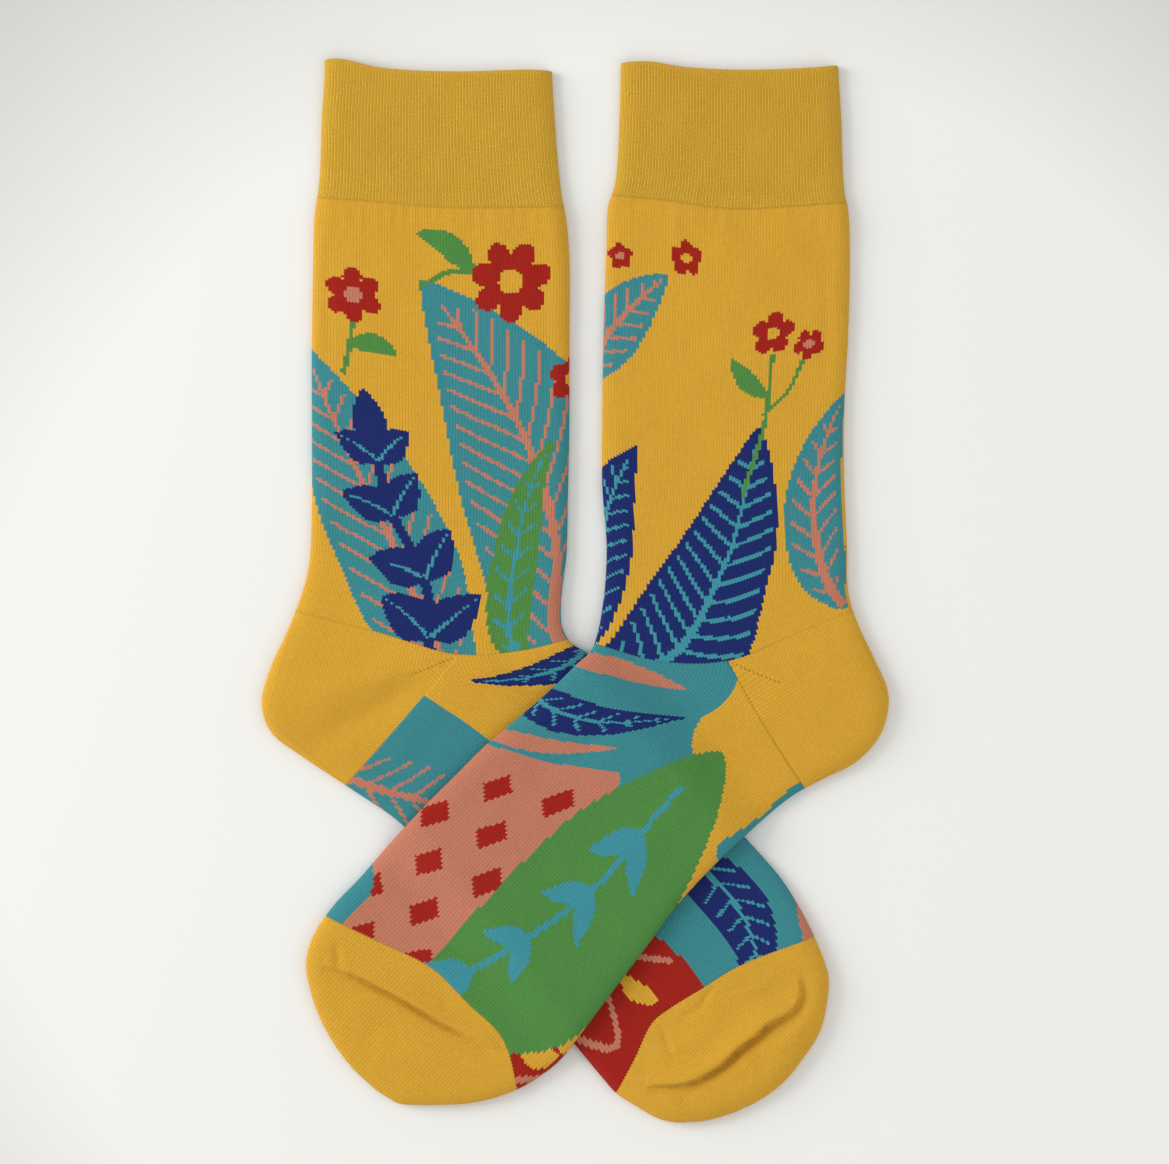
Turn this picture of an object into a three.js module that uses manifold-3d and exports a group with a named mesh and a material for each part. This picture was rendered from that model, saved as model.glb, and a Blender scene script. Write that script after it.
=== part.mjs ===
// A pair of crew socks laid flat, the foot of one crossed over the foot of the other.
// Millimetres, +Z up. The origin is the middle of the pair's outline on the surface it lies on,
// +X runs across the two legs and +Y runs up the legs to the cuffs.

import * as THREE from 'three';
import { mergeVertices } from 'three/addons/utils/BufferGeometryUtils.js';
import Module from 'manifold-3d';

const wasm = await Module();
wasm.setup();

// Driving dimensions
const WALL = 1.3;
const SEAM_GAP = 0.3;
const LEAST_HOLLOW = 0.25;

// The cross-section of a tube lying flat: a level underside, folds at both sides, a soft shoulder
const FOLD_LEVEL = 0.42;
const SHOULDER_REACH = 7;
const SHOULDER_POWER = 2.2;
const UNDERSIDE_CORNER = 1.3;

// Ribs of the cuff, raised on the upper face only, because the lower face rests flat
const RIBS = 75;
const RIB_DEPTH = 0.25;

// How the upper foot rides over the lower one and comes down beside it
const RIDE_CLEARANCE = 0.35;
const RIDE_START = 6;
const RIDE_FALL = 14;

// The lower foot's height where the upper one crosses it
const CROSSED_HEIGHT = 4.5;

// Upright blades part the zones. They reach this far up and down, with steps for each border point.
const BORDER_REACH = 20;
const BORDER_STEPS = 2;

// Rows of a sock's table: where the hollow starts, how many close its toe, and how many hold the cuff
const HOLLOW_START = 0.4;
const CLOSED_ROWS = 2.5;
const CUFF_ROWS = 5;

// A fold's height along its length follows a sine to this power, so that it fades at its ends.
const FOLD_FADE = 0.6;

// The underside's corner takes at most this share of a narrow section's half width.
const MOST_CORNER = 0.4;

// Turns rows of numbers into objects, so that each number has its column's name.
function table(columns, rows) {
  return rows.map((row) => Object.fromEntries(columns.map((name, i) => [name, row[i]])));
}

// Sections of a sock from above the cuff to the tip of the toe. The front edge is the shin and
// instep fold, the back edge is the calf, heel and sole fold, and steps is the number of rings up to
// the next row.
const SECTION = ['frontX', 'frontY', 'backX', 'backY', 'height', 'steps'];

const UNDER_SECTIONS = table(SECTION, [
  [-8.0, 193.0, -88.5, 196.5, 3.9, 1],
  [-8.0, 180.5, -87.5, 184.5, 3.9, 1],
  [-7.0, 163.0, -88.5, 165.5, 4.1, 1],
  [-5.0, 140.5, -89.5, 142.0, 4.0, 1],
  [-3.0, 129.0, -91.0, 131.5, 4.4, 1],
  [-2.0, 116.0, -91.5, 116.0, 4.3, 1],
  [-2.0, 86.0, -92.0, 86.0, 4.2, 1],
  [-2.0, 56.5, -92.0, 56.5, 4.2, 1],
  [-2.5, 32.0, -92.0, 30.0, 4.3, 1],
  [-3.0, 12.5, -93.0, 9.0, 4.4, 2],
  [-4.5, 0.5, -96.5, -4.0, 4.6, 2],
  [-5.0, -7.5, -101.0, -15.0, 4.9, 2],
  [-4.5, -12.5, -106.5, -27.0, 5.1, 2],
  [-3.0, -16.0, -109.5, -39.5, 5.2, 2],
  [-1.0, -18.5, -106.0, -49.5, 5.1, 2],
  [1.5, -20.0, -95.0, -58.0, 4.8, 2],
  [4.0, -21.5, -80.0, -68.0, 4.5, 2],
  [8.5, -27.0, -60.0, -82.0, 4.1, 1],
  [17.5, -37.0, -50.0, -94.5, 3.9, 1],
  [29.5, -51.0, -37.5, -110.5, 3.8, 1],
  [44.5, -68.5, -22.5, -130.0, 3.8, 1],
  [58.5, -85.0, -9.0, -147.5, 4.0, 2],
  [72.0, -100.5, 2.5, -161.5, 4.6, 2],
  [79.5, -112.5, 9.5, -170.0, 5.0, 2],
  [85.0, -124.0, 14.5, -175.5, 5.3, 2],
  [88.5, -134.5, 21.5, -180.0, 5.5, 2],
  [88.0, -144.0, 27.5, -183.5, 5.5, 2],
  [85.5, -154.0, 34.0, -185.5, 5.4, 2],
  [79.5, -163.5, 41.0, -185.5, 5.2, 2],
  [73.5, -171.0, 48.0, -184.5, 4.7, 2],
  [67.5, -176.0, 56.0, -182.0, 3.8, 2],
  [63.5, -178.5, 60.5, -180.0, 2.4, 0],
]);

const OVER_SECTIONS = table(SECTION, [
  [16.5, 196.5, 92.0, 194.5, 3.9, 1],
  [16.0, 184.0, 92.0, 183.0, 3.9, 1],
  [15.5, 164.0, 93.0, 165.0, 4.1, 1],
  [14.0, 142.5, 94.0, 141.0, 4.0, 1],
  [11.5, 134.0, 95.5, 132.5, 4.4, 1],
  [11.0, 121.0, 96.0, 119.5, 4.3, 1],
  [10.0, 91.5, 95.5, 91.5, 4.2, 1],
  [9.5, 63.5, 94.0, 62.5, 4.2, 1],
  [9.5, 37.0, 94.0, 39.0, 4.3, 1],
  [11.0, 16.0, 95.0, 16.0, 4.4, 2],
  [10.5, 2.0, 95.5, -0.5, 4.6, 2],
  [9.5, -6.0, 99.0, -12.0, 4.9, 2],
  [8.5, -12.0, 104.5, -23.5, 5.1, 2],
  [7.5, -16.0, 109.5, -36.5, 5.2, 2],
  [6.5, -19.0, 107.0, -49.5, 5.1, 2],
  [4.5, -22.0, 98.5, -59.5, 4.8, 2],
  [0.5, -25.5, 87.0, -65.5, 4.5, 2],
  [-4.5, -30.5, 76.0, -71.5, 4.3, 2],
  [-12.5, -38.0, 62.0, -83.0, 4.1, 2],
  [-22.0, -46.0, 48.0, -96.0, 4.1, 2],
  [-31.5, -54.0, 36.0, -109.0, 4.1, 2],
  [-42.0, -64.5, 26.0, -122.5, 4.1, 2],
  [-53.5, -76.0, 15.0, -137.0, 4.2, 2],
  [-65.0, -88.5, 3.0, -153.0, 4.5, 2],
  [-75.0, -100.0, -6.5, -165.0, 4.8, 2],
  [-84.5, -110.0, -18.0, -173.0, 5.1, 2],
  [-91.5, -120.5, -28.0, -177.0, 5.3, 2],
  [-94.0, -130.0, -38.0, -179.0, 5.4, 2],
  [-92.5, -139.5, -47.5, -179.5, 5.4, 2],
  [-88.5, -150.5, -55.0, -179.5, 5.2, 2],
  [-83.0, -160.0, -61.5, -179.0, 4.7, 2],
  [-77.5, -167.0, -65.5, -177.0, 3.8, 2],
  [-74.5, -170.0, -70.0, -174.0, 2.4, 0],
]);

// Folds of the upper face: a soft ridge, or a trough where rise is negative, along a bent line
const FOLD = ['startX', 'startY', 'bendX', 'bendY', 'endX', 'endY', 'rise', 'spread'];

const UNDER_FOLDS = table(FOLD, [
  [-48.0, -22.0, -74.0, -32.0, -99.0, -38.0, 0.8, 5.0],
  [-47.5, -29.5, -73.0, -42.0, -96.5, -53.0, -0.9, 4.0],
  [21.0, -166.0, 44.0, -162.0, 74.0, -134.0, 2.0, 5.0],
  [25.0, -175.0, 50.0, -170.5, 80.0, -142.0, -1.4, 3.5],
]);

const OVER_FOLDS = table(FOLD, [
  [62.0, -32.0, 80.0, -38.0, 99.0, -43.0, -0.7, 5.0],
  [-80.0, -124.0, -57.0, -136.5, -30.0, -150.0, 0.9, 4.0],
  [-83.0, -130.0, -59.0, -143.0, -31.0, -157.0, -0.9, 3.0],
]);

// Borders between the knitted zones, seen from above. Each runs past both sides of the sock.
const POINT = ['x', 'y'];

const UNDER_BORDERS = {
  cuffTop: table(POINT, [
    [-95, 184.6], [-83.4, 185.8], [-68.7, 182.8], [-44.5, 181.4], [-10, 181.7], [0, 180],
  ]),
  cuffFoot: table(POINT, [[-98, 137.9], [-72, 136.2], [-48, 134.1], [4, 134.1]]),
  heelCourse: table(POINT, [[-104, -5], [-68, -14.5], [-40.7, -22], [-20, -21], [5, -15]]),
  heelEnd: table(POINT, [[-40.4, -21.9], [-60, -45], [-83.5, -71.7]]),
  toeCourse: table(POINT, [
    [88, -119], [57, -130.8], [44.4, -138.5], [33.5, -145.2], [26.9, -150.5], [20.6, -163.4], [11, -181],
  ]),
};

const OVER_BORDERS = {
  cuffTop: table(POINT, [
    [10, 183.8], [24.4, 184.9], [37.4, 183.1], [57, 182.1], [82.9, 182.8], [98, 184],
  ]),
  cuffFoot: table(POINT, [[6, 138.9], [32, 136.4], [55, 133.4], [78, 134.4], [102, 136.2]]),
  heelCourse: table(POINT, [[105, -4], [78, -14.5], [53.5, -24.2], [30, -24.5], [0, -16]]),
  heelEnd: table(POINT, [[53.2, -24.1], [65, -45], [83.2, -73.5]]),
  toeCourse: table(POINT, [
    [-92, -111], [-68.7, -122.1], [-49.8, -131.5], [-37.2, -143.8], [-24.9, -156.4], [-18.5, -182],
  ]),
};

// A place inside each zone, by which the cut pieces are told apart
const UNDER_ZONES = {
  cuff: [-47, 160],
  leg: [-47, 55],
  heel: [-85, -35],
  foot: [8, -85],
  toe: [55, -155],
};

const OVER_ZONES = {
  cuff: [54, 160],
  leg: [53, 55],
  heel: [85, -38],
  foot: [-5, -90],
  toe: [-58, -152],
};

const MUSTARD = new THREE.Color('#dda632');
const OLIVE_MUSTARD = new THREE.Color('#c89e30');
const TEAL = new THREE.Color('#3e8f98');
const GREEN = new THREE.Color('#4e8a44');

const ZONE_COLOURS = {
  under: { cuff: OLIVE_MUSTARD, leg: TEAL, heel: MUSTARD, foot: TEAL, toe: MUSTARD },
  over: { cuff: OLIVE_MUSTARD, leg: TEAL, heel: MUSTARD, foot: GREEN, toe: MUSTARD },
};

// Edge curves through a sock's rows. A curve's z carries the height of the section there.
function edges(sections) {
  const through = (x, y) => new THREE.CatmullRomCurve3(
    sections.map((row) => new THREE.Vector3(row[x], row[y], row.height)),
    false,
    'centripetal',
  );
  return { front: through('frontX', 'frontY'), back: through('backX', 'backY') };
}

// The places of a sock's rings, counted in rows.
function ringPlaces(sections) {
  const places = [];
  sections.forEach((row, i) => {
    for (let k = 0; k < Math.max(row.steps, 1); k += 1) places.push(i + k / Math.max(row.steps, 1));
  });
  return places;
}

// The direction in plan that points from an edge of the sock to its inside.
function inwardNormal(curve, share, towards) {
  const tangent = curve.getTangent(share);
  const normal = new THREE.Vector2(-tangent.y, tangent.x).normalize();
  return normal.dot(towards) < 0 ? normal.negate() : normal;
}

// Height share of the upper face at a distance from the fold: 0 at the fold and 1 on the level.
function shoulder(distance) {
  const missing = THREE.MathUtils.clamp(1 - distance / SHOULDER_REACH, 0, 1);
  return (1 - missing ** SHOULDER_POWER) ** (1 / SHOULDER_POWER);
}

// Height of the upper face of a level section at a distance from its fold.
function upperLevel(height, distance) {
  return height * (FOLD_LEVEL + (1 - FOLD_LEVEL) * shoulder(distance));
}

// The nearest place on a line between two points, as a distance and a share of the line's length.
function nearestOn(start, end, x, y) {
  const dx = end.x - start.x;
  const dy = end.y - start.y;
  const share = THREE.MathUtils.clamp(((x - start.x) * dx + (y - start.y) * dy) / (dx * dx + dy * dy), 0, 1);
  return { share, distance: Math.hypot(x - start.x - share * dx, y - start.y - share * dy) };
}

// What the folds of a sock add to its upper face at a place. A fold fades out at both its ends.
function foldRise(folds, x, y) {
  const profile = (along) => Math.sin(Math.PI * along) ** FOLD_FADE;
  return folds.reduce((sum, fold) => {
    const bend = { x: fold.bendX, y: fold.bendY };
    const first = nearestOn({ x: fold.startX, y: fold.startY }, bend, x, y);
    const second = nearestOn(bend, { x: fold.endX, y: fold.endY }, x, y);
    const inFirst = first.distance < second.distance;
    const along = inFirst ? first.share / 2 : 0.5 + second.share / 2;
    const nearest = inFirst ? first.distance : second.distance;
    return sum + fold.rise * profile(along) * Math.exp(-((nearest / fold.spread) ** 2));
  }, 0);
}

// The outline of a sock in plan, as a closed list of points.
function outlineOf(sections) {
  const { front, back } = edges(sections);
  const places = ringPlaces(sections).map((place) => place / (sections.length - 1));
  return [
    ...places.map((share) => front.getPoint(share)),
    ...places.reverse().map((share) => back.getPoint(share)),
  ];
}

// Distance to a closed outline, negative inside it.
function signedDistance(outline, x, y) {
  let nearest = Infinity;
  let inside = false;
  outline.forEach((point, i) => {
    const next = outline[(i + 1) % outline.length];
    nearest = Math.min(nearest, nearestOn(point, next, x, y).distance);
    const crosses = point.y > y !== next.y > y;
    if (crosses && x < point.x + ((y - point.y) / (next.y - point.y)) * (next.x - point.x)) inside = !inside;
  });
  return inside ? -nearest : nearest;
}

// How far the upper sock is lifted by the lower one at a place.
function rideOver(outline, height) {
  return (x, y) => {
    const distance = signedDistance(outline, x, y);
    return (height + RIDE_CLEARANCE) * (1 - THREE.MathUtils.smoothstep(distance, -RIDE_START, RIDE_FALL));
  };
}

// One ring of points round a sock at a place counted in rows: the upper face from front to back,
// then the underside from back to front. inset is 0 outside and the wall's thickness inside.
function ring(sock, place, inset, across) {
  const share = place / (sock.sections.length - 1);
  const front = sock.edges.front.getPoint(share);
  const back = sock.edges.back.getPoint(share);
  const height = front.z;
  const chord = new THREE.Vector2(front.x - back.x, front.y - back.y);
  const half = chord.length() / 2;
  chord.normalize();
  const frontInset = inwardNormal(sock.edges.front, share, chord.clone().negate()).multiplyScalar(inset);
  const backInset = inwardNormal(sock.edges.back, share, chord).multiplyScalar(inset);
  const at = (t, level) => {
    const k = (t + 1) / 2;
    const x = THREE.MathUtils.lerp(back.x + backInset.x, front.x + frontInset.x, k);
    const y = THREE.MathUtils.lerp(back.y + backInset.y, front.y + frontInset.y, k);
    return new THREE.Vector3(x, y, level(x, y) + sock.lift(x, y));
  };
  const points = [];
  for (let i = 0; i <= across.upper; i += 1) {
    const t = across.ribbed ? 1 - (2 * i) / across.upper : Math.cos((Math.PI * i) / across.upper);
    const distance = inset + (half - inset) * (1 - Math.abs(t));
    const rib = across.ribbed && i % 2 === 1 ? RIB_DEPTH : 0;
    points.push(at(t, (x, y) => {
      const level = upperLevel(height, distance) + foldRise(sock.folds, x, y) - inset;
      return inset > 0 ? Math.max(level, inset + LEAST_HOLLOW) : level + rib;
    }));
  }
  const corner = 1 - Math.min(UNDERSIDE_CORNER / half, MOST_CORNER);
  for (let i = 0; i < across.lower; i += 1) {
    points.push(at(-corner + (2 * corner * i) / (across.lower - 1), () => inset));
  }
  return points;
}

// A closed solid through a sock's rings from one place to another.
function loft(sock, places, inset, across) {
  const rings = places.map((place) => ring(sock, place, inset, across));
  const count = rings[0].length;
  const vertices = rings.flat();
  const triangles = [];
  const face = (a, b, c) => triangles.push(...(sock.frontIsLeft ? [a, c, b] : [a, b, c]));
  for (let r = 0; r + 1 < rings.length; r += 1) {
    for (let i = 0; i < count; i += 1) {
      const a = r * count + i;
      const b = r * count + ((i + 1) % count);
      face(a, b, a + count);
      face(b, b + count, a + count);
    }
  }
  [0, rings.length - 1].forEach((r, end) => {
    const sum = rings[r].reduce((total, point) => total.add(point), new THREE.Vector3());
    const middle = sum.divideScalar(count);
    vertices.push(middle);
    for (let i = 0; i < count; i += 1) {
      const a = r * count + i;
      const b = r * count + ((i + 1) % count);
      if (end === 0) face(vertices.length - 1, b, a);
      else face(vertices.length - 1, a, b);
    }
  });
  const coordinates = vertices.flatMap((vertex) => vertex.toArray());
  return solidFrom(Float32Array.from(coordinates), Uint32Array.from(triangles));
}

function solidFrom(vertProperties, triVerts) {
  return new wasm.Manifold(new wasm.Mesh({ numProp: 3, vertProperties, triVerts }));
}

// A thin upright blade along a border, as wide as the gap between two pieces.
function blade(border) {
  const route = new THREE.SplineCurve(border.map((point) => new THREE.Vector2(point.x, point.y)));
  const places = route.getPoints(BORDER_STEPS * (border.length - 1));
  const sides = places.map((point, i) => {
    const before = places[Math.max(i - 1, 0)];
    const after = places[Math.min(i + 1, places.length - 1)];
    const normal = new THREE.Vector2(before.y - after.y, after.x - before.x).setLength(SEAM_GAP / 2);
    return { point, normal };
  });
  const shape = new THREE.Shape([
    ...sides.map(({ point, normal }) => new THREE.Vector2(point.x + normal.x, point.y + normal.y)),
    ...sides.reverse().map(({ point, normal }) => new THREE.Vector2(point.x - normal.x, point.y - normal.y)),
  ]);
  const geometry = new THREE.ExtrudeGeometry(shape, { depth: 2 * BORDER_REACH, bevelEnabled: false });
  geometry.translate(0, 0, -BORDER_REACH);
  geometry.deleteAttribute('normal');
  geometry.deleteAttribute('uv');
  const merged = mergeVertices(geometry);
  return solidFrom(merged.attributes.position.array, Uint32Array.from(merged.index.array));
}

// A hollow tube through the given places, parted at the sock's borders.
function cutTube(sock, places, hollowEnd, across) {
  const between = places.filter((place) => place > HOLLOW_START && place < hollowEnd);
  const hollowPlaces = [HOLLOW_START, ...between, hollowEnd];
  const tube = loft(sock, places, 0, across.outside).subtract(loft(sock, hollowPlaces, WALL, across.inside));
  const parted = Object.values(sock.borders).reduce((rest, border) => rest.subtract(blade(border)), tube);
  return parted.decompose();
}

// The mean place in plan of a solid's vertices.
function middleOf(solid) {
  const { vertProperties, numProp } = solid.getMesh();
  const middle = new THREE.Vector2();
  for (let i = 0; i < vertProperties.length; i += numProp) {
    middle.x += vertProperties[i];
    middle.y += vertProperties[i + 1];
  }
  return middle.divideScalar(vertProperties.length / numProp);
}

function nearestPiece(pieces, [x, y]) {
  const seed = new THREE.Vector2(x, y);
  return pieces.reduce((best, piece) => (
    middleOf(piece).distanceTo(seed) < middleOf(best).distanceTo(seed) ? piece : best
  ));
}

function meshOf(name, solid, color) {
  const { vertProperties, triVerts } = solid.getMesh();
  const geometry = new THREE.BufferGeometry();
  geometry.setAttribute('position', new THREE.BufferAttribute(Float32Array.from(vertProperties), 3));
  geometry.setIndex([...triVerts]);
  geometry.computeVertexNormals();
  const material = new THREE.MeshStandardMaterial({ color, roughness: 0.9, metalness: 0 });
  const mesh = new THREE.Mesh(geometry, material);
  mesh.name = name;
  return mesh;
}

// The five knitted zones of one sock, each a closed solid of its own.
function sockMeshes(name, sock) {
  const tubeEnd = sock.sections.length - 1 - CLOSED_ROWS;
  const tubePieces = cutTube(sock, ringPlaces(sock.sections), tubeEnd, sock.across);
  const cuffPlaces = Array.from({ length: CUFF_ROWS + 1 }, (_, i) => i);
  const cuffPieces = cutTube(sock, cuffPlaces, CUFF_ROWS - HOLLOW_START, {
    outside: { upper: 2 * RIBS, lower: sock.across.outside.lower, ribbed: true },
    inside: sock.across.inside,
  });
  return Object.entries(sock.zones).map(([zone, seed]) => {
    const piece = nearestPiece(zone === 'cuff' ? cuffPieces : tubePieces, seed);
    return meshOf(`${name}_${zone}`, piece, ZONE_COLOURS[name][zone]);
  });
}

const underSock = {
  sections: UNDER_SECTIONS,
  edges: edges(UNDER_SECTIONS),
  folds: UNDER_FOLDS,
  borders: UNDER_BORDERS,
  zones: UNDER_ZONES,
  lift: () => 0,
  frontIsLeft: false,
  across: {
    outside: { upper: 16, lower: 6 },
    inside: { upper: 10, lower: 4 },
  },
};

const overSock = {
  sections: OVER_SECTIONS,
  edges: edges(OVER_SECTIONS),
  folds: OVER_FOLDS,
  borders: OVER_BORDERS,
  zones: OVER_ZONES,
  lift: rideOver(outlineOf(UNDER_SECTIONS), CROSSED_HEIGHT),
  frontIsLeft: true,
  across: {
    outside: { upper: 16, lower: 11 },
    inside: { upper: 11, lower: 9 },
  },
};

const pair = new THREE.Group();
pair.add(...sockMeshes('under', underSock), ...sockMeshes('over', overSock));

// The pair is centred on the origin in plan.
const middle = new THREE.Box3().setFromObject(pair, true).getCenter(new THREE.Vector3());
pair.position.set(-middle.x, -middle.y, 0);

export default pair;
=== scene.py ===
"""A pair of patterned crew socks, laid flat with the foot of one crossed over the other.

Metres with +Z up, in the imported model's frame. The tables and the shape functions work in
millimetres and each mesh is scaled as it is made.
"""

from __future__ import annotations

import logging
import math
from dataclasses import dataclass, field
from enum import Enum
from typing import Callable, Iterable, Sequence

import bmesh
import bpy
import numpy as np
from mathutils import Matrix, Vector

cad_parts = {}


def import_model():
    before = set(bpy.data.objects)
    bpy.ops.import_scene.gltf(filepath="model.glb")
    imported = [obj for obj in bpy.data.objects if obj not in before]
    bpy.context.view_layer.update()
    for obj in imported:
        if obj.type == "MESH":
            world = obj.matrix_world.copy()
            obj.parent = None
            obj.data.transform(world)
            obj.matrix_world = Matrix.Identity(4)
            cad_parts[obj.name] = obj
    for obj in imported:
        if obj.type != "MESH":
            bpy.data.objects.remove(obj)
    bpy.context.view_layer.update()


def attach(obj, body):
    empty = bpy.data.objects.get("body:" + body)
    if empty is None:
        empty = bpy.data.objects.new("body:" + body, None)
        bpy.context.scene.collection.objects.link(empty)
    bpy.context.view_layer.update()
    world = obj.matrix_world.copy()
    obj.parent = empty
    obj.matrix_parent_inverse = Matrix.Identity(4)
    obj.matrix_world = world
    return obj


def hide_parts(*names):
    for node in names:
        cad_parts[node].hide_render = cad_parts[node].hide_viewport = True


LOG = logging.getLogger("socks")
MM = 0.001

FACE_WIDTH = 90.0
WALES = 84
WALE = FACE_WIDTH / WALES
COURSE = 0.78
LEG_COURSES = 195
FOOT_COURSES = 180
HEEL_COURSES = 60
TOE_COURSES = 90
CUFF_RIBS = 75
BATCH = 4096
NO_MATCH = math.inf

Array = np.ndarray
Point = tuple[float, float]


# Yarns and finishes


class Yarn(Enum):
    """The yarns of the pattern, each as an sRGB colour."""

    MUSTARD = (212, 160, 49)
    TEAL = (57, 134, 141)
    NAVY = (21, 37, 101)
    RED = (158, 28, 15)
    SALMON = (191, 120, 95)
    GREEN = (77, 135, 64)
    SKY = (59, 142, 156)

    def linear(self) -> tuple[float, float, float, float]:
        """Returns the yarn's colour as linear RGBA."""
        return linear_rgba(self.value)


def linear_rgba(colour: Sequence[float]) -> tuple[float, float, float, float]:
    """Turns an sRGB colour of 0 to 255 into linear RGBA.

    Args:
        colour: Red, green and blue.

    Returns:
        The linear colour with an alpha of 1.
    """
    parts = [c / 255 for c in colour]
    red, green, blue = (c / 12.92 if c <= 0.04045 else ((c + 0.055) / 1.055) ** 2.4 for c in parts)
    return red, green, blue, 1.0


class NodeSheet:
    """A node tree with short calls for the nodes that the finishes and generators use."""

    def __init__(self, tree: bpy.types.NodeTree) -> None:
        """Keeps the tree.

        Args:
            tree: A shader or geometry node tree.
        """
        self.tree = tree
        self.made = 0

    def add(self, kind: str, **settings: object) -> bpy.types.Node:
        """Adds a node and sets its properties.

        Args:
            kind: The node's type name.
            **settings: Properties of the node.

        Returns:
            The new node.
        """
        node = self.tree.nodes.new(kind)
        node.location = (180 * (self.made % 12), -220 * (self.made // 12))
        self.made += 1
        for key, value in settings.items():
            setattr(node, key, value)
        return node

    def feed(self, socket: bpy.types.NodeSocket, value: object) -> None:
        """Links a socket's value, or sets it where it is a plain number or tuple.

        Args:
            socket: The input that is fed.
            value: An output socket or a plain value.
        """
        if isinstance(value, bpy.types.NodeSocket):
            self.tree.links.new(value, socket)
        else:
            socket.default_value = value

    def math(self, operation: str, *values: object) -> bpy.types.NodeSocket:
        """Adds a Math node.

        Args:
            operation: Its operation.
            *values: Its inputs, sockets or numbers.

        Returns:
            Its output.
        """
        node = self.add("ShaderNodeMath", operation=operation)
        for socket, value in zip(node.inputs, values):
            self.feed(socket, value)
        return node.outputs[0]

    def blend(
        self, factor: object, low: object, high: object, mode: str = "MIX"
    ) -> bpy.types.NodeSocket:
        """Adds a colour Mix node.

        Args:
            factor: How much of the second colour shows.
            low: The first colour.
            high: The second colour.
            mode: The blend mode.

        Returns:
            The mixed colour.
        """
        node = self.add("ShaderNodeMix", data_type="RGBA", blend_type=mode)
        self.feed(node.inputs["Factor"], factor)
        self.feed(node.inputs[6], low)
        self.feed(node.inputs[7], high)
        return node.outputs[2]

    def span(
        self, value: object, low: float, high: float, to_low: float, to_high: float
    ) -> bpy.types.NodeSocket:
        """Adds a clamped Map Range node.

        Args:
            value: The value that is mapped.
            low: Start of its range.
            high: End of its range.
            to_low: What the start becomes.
            to_high: What the end becomes.

        Returns:
            The mapped value.
        """
        node = self.add("ShaderNodeMapRange")
        for socket, entry in zip(node.inputs, (value, low, high, to_low, to_high)):
            self.feed(socket, entry)
        return node.outputs[0]


def shader_group(
    name: str, inputs: dict[str, str], outputs: dict[str, str]
) -> tuple[NodeSheet, dict, dict]:
    """Starts a shader node group with named sockets.

    Args:
        name: The group's name.
        inputs: Socket types by name.
        outputs: Socket types by name.

    Returns:
        The sheet, its input sockets by name and the group's output sockets by name.
    """
    tree = bpy.data.node_groups.new(name, "ShaderNodeTree")
    for label, kind in inputs.items():
        tree.interface.new_socket(label, in_out="INPUT", socket_type=kind)
    for label, kind in outputs.items():
        tree.interface.new_socket(label, in_out="OUTPUT", socket_type=kind)
    sheet = NodeSheet(tree)
    entry = sheet.add("NodeGroupInput")
    leave = sheet.add("NodeGroupOutput")
    given = {s.name: s for s in entry.outputs if s.name}
    return sheet, given, {s.name: s for s in leave.inputs if s.name}


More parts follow.
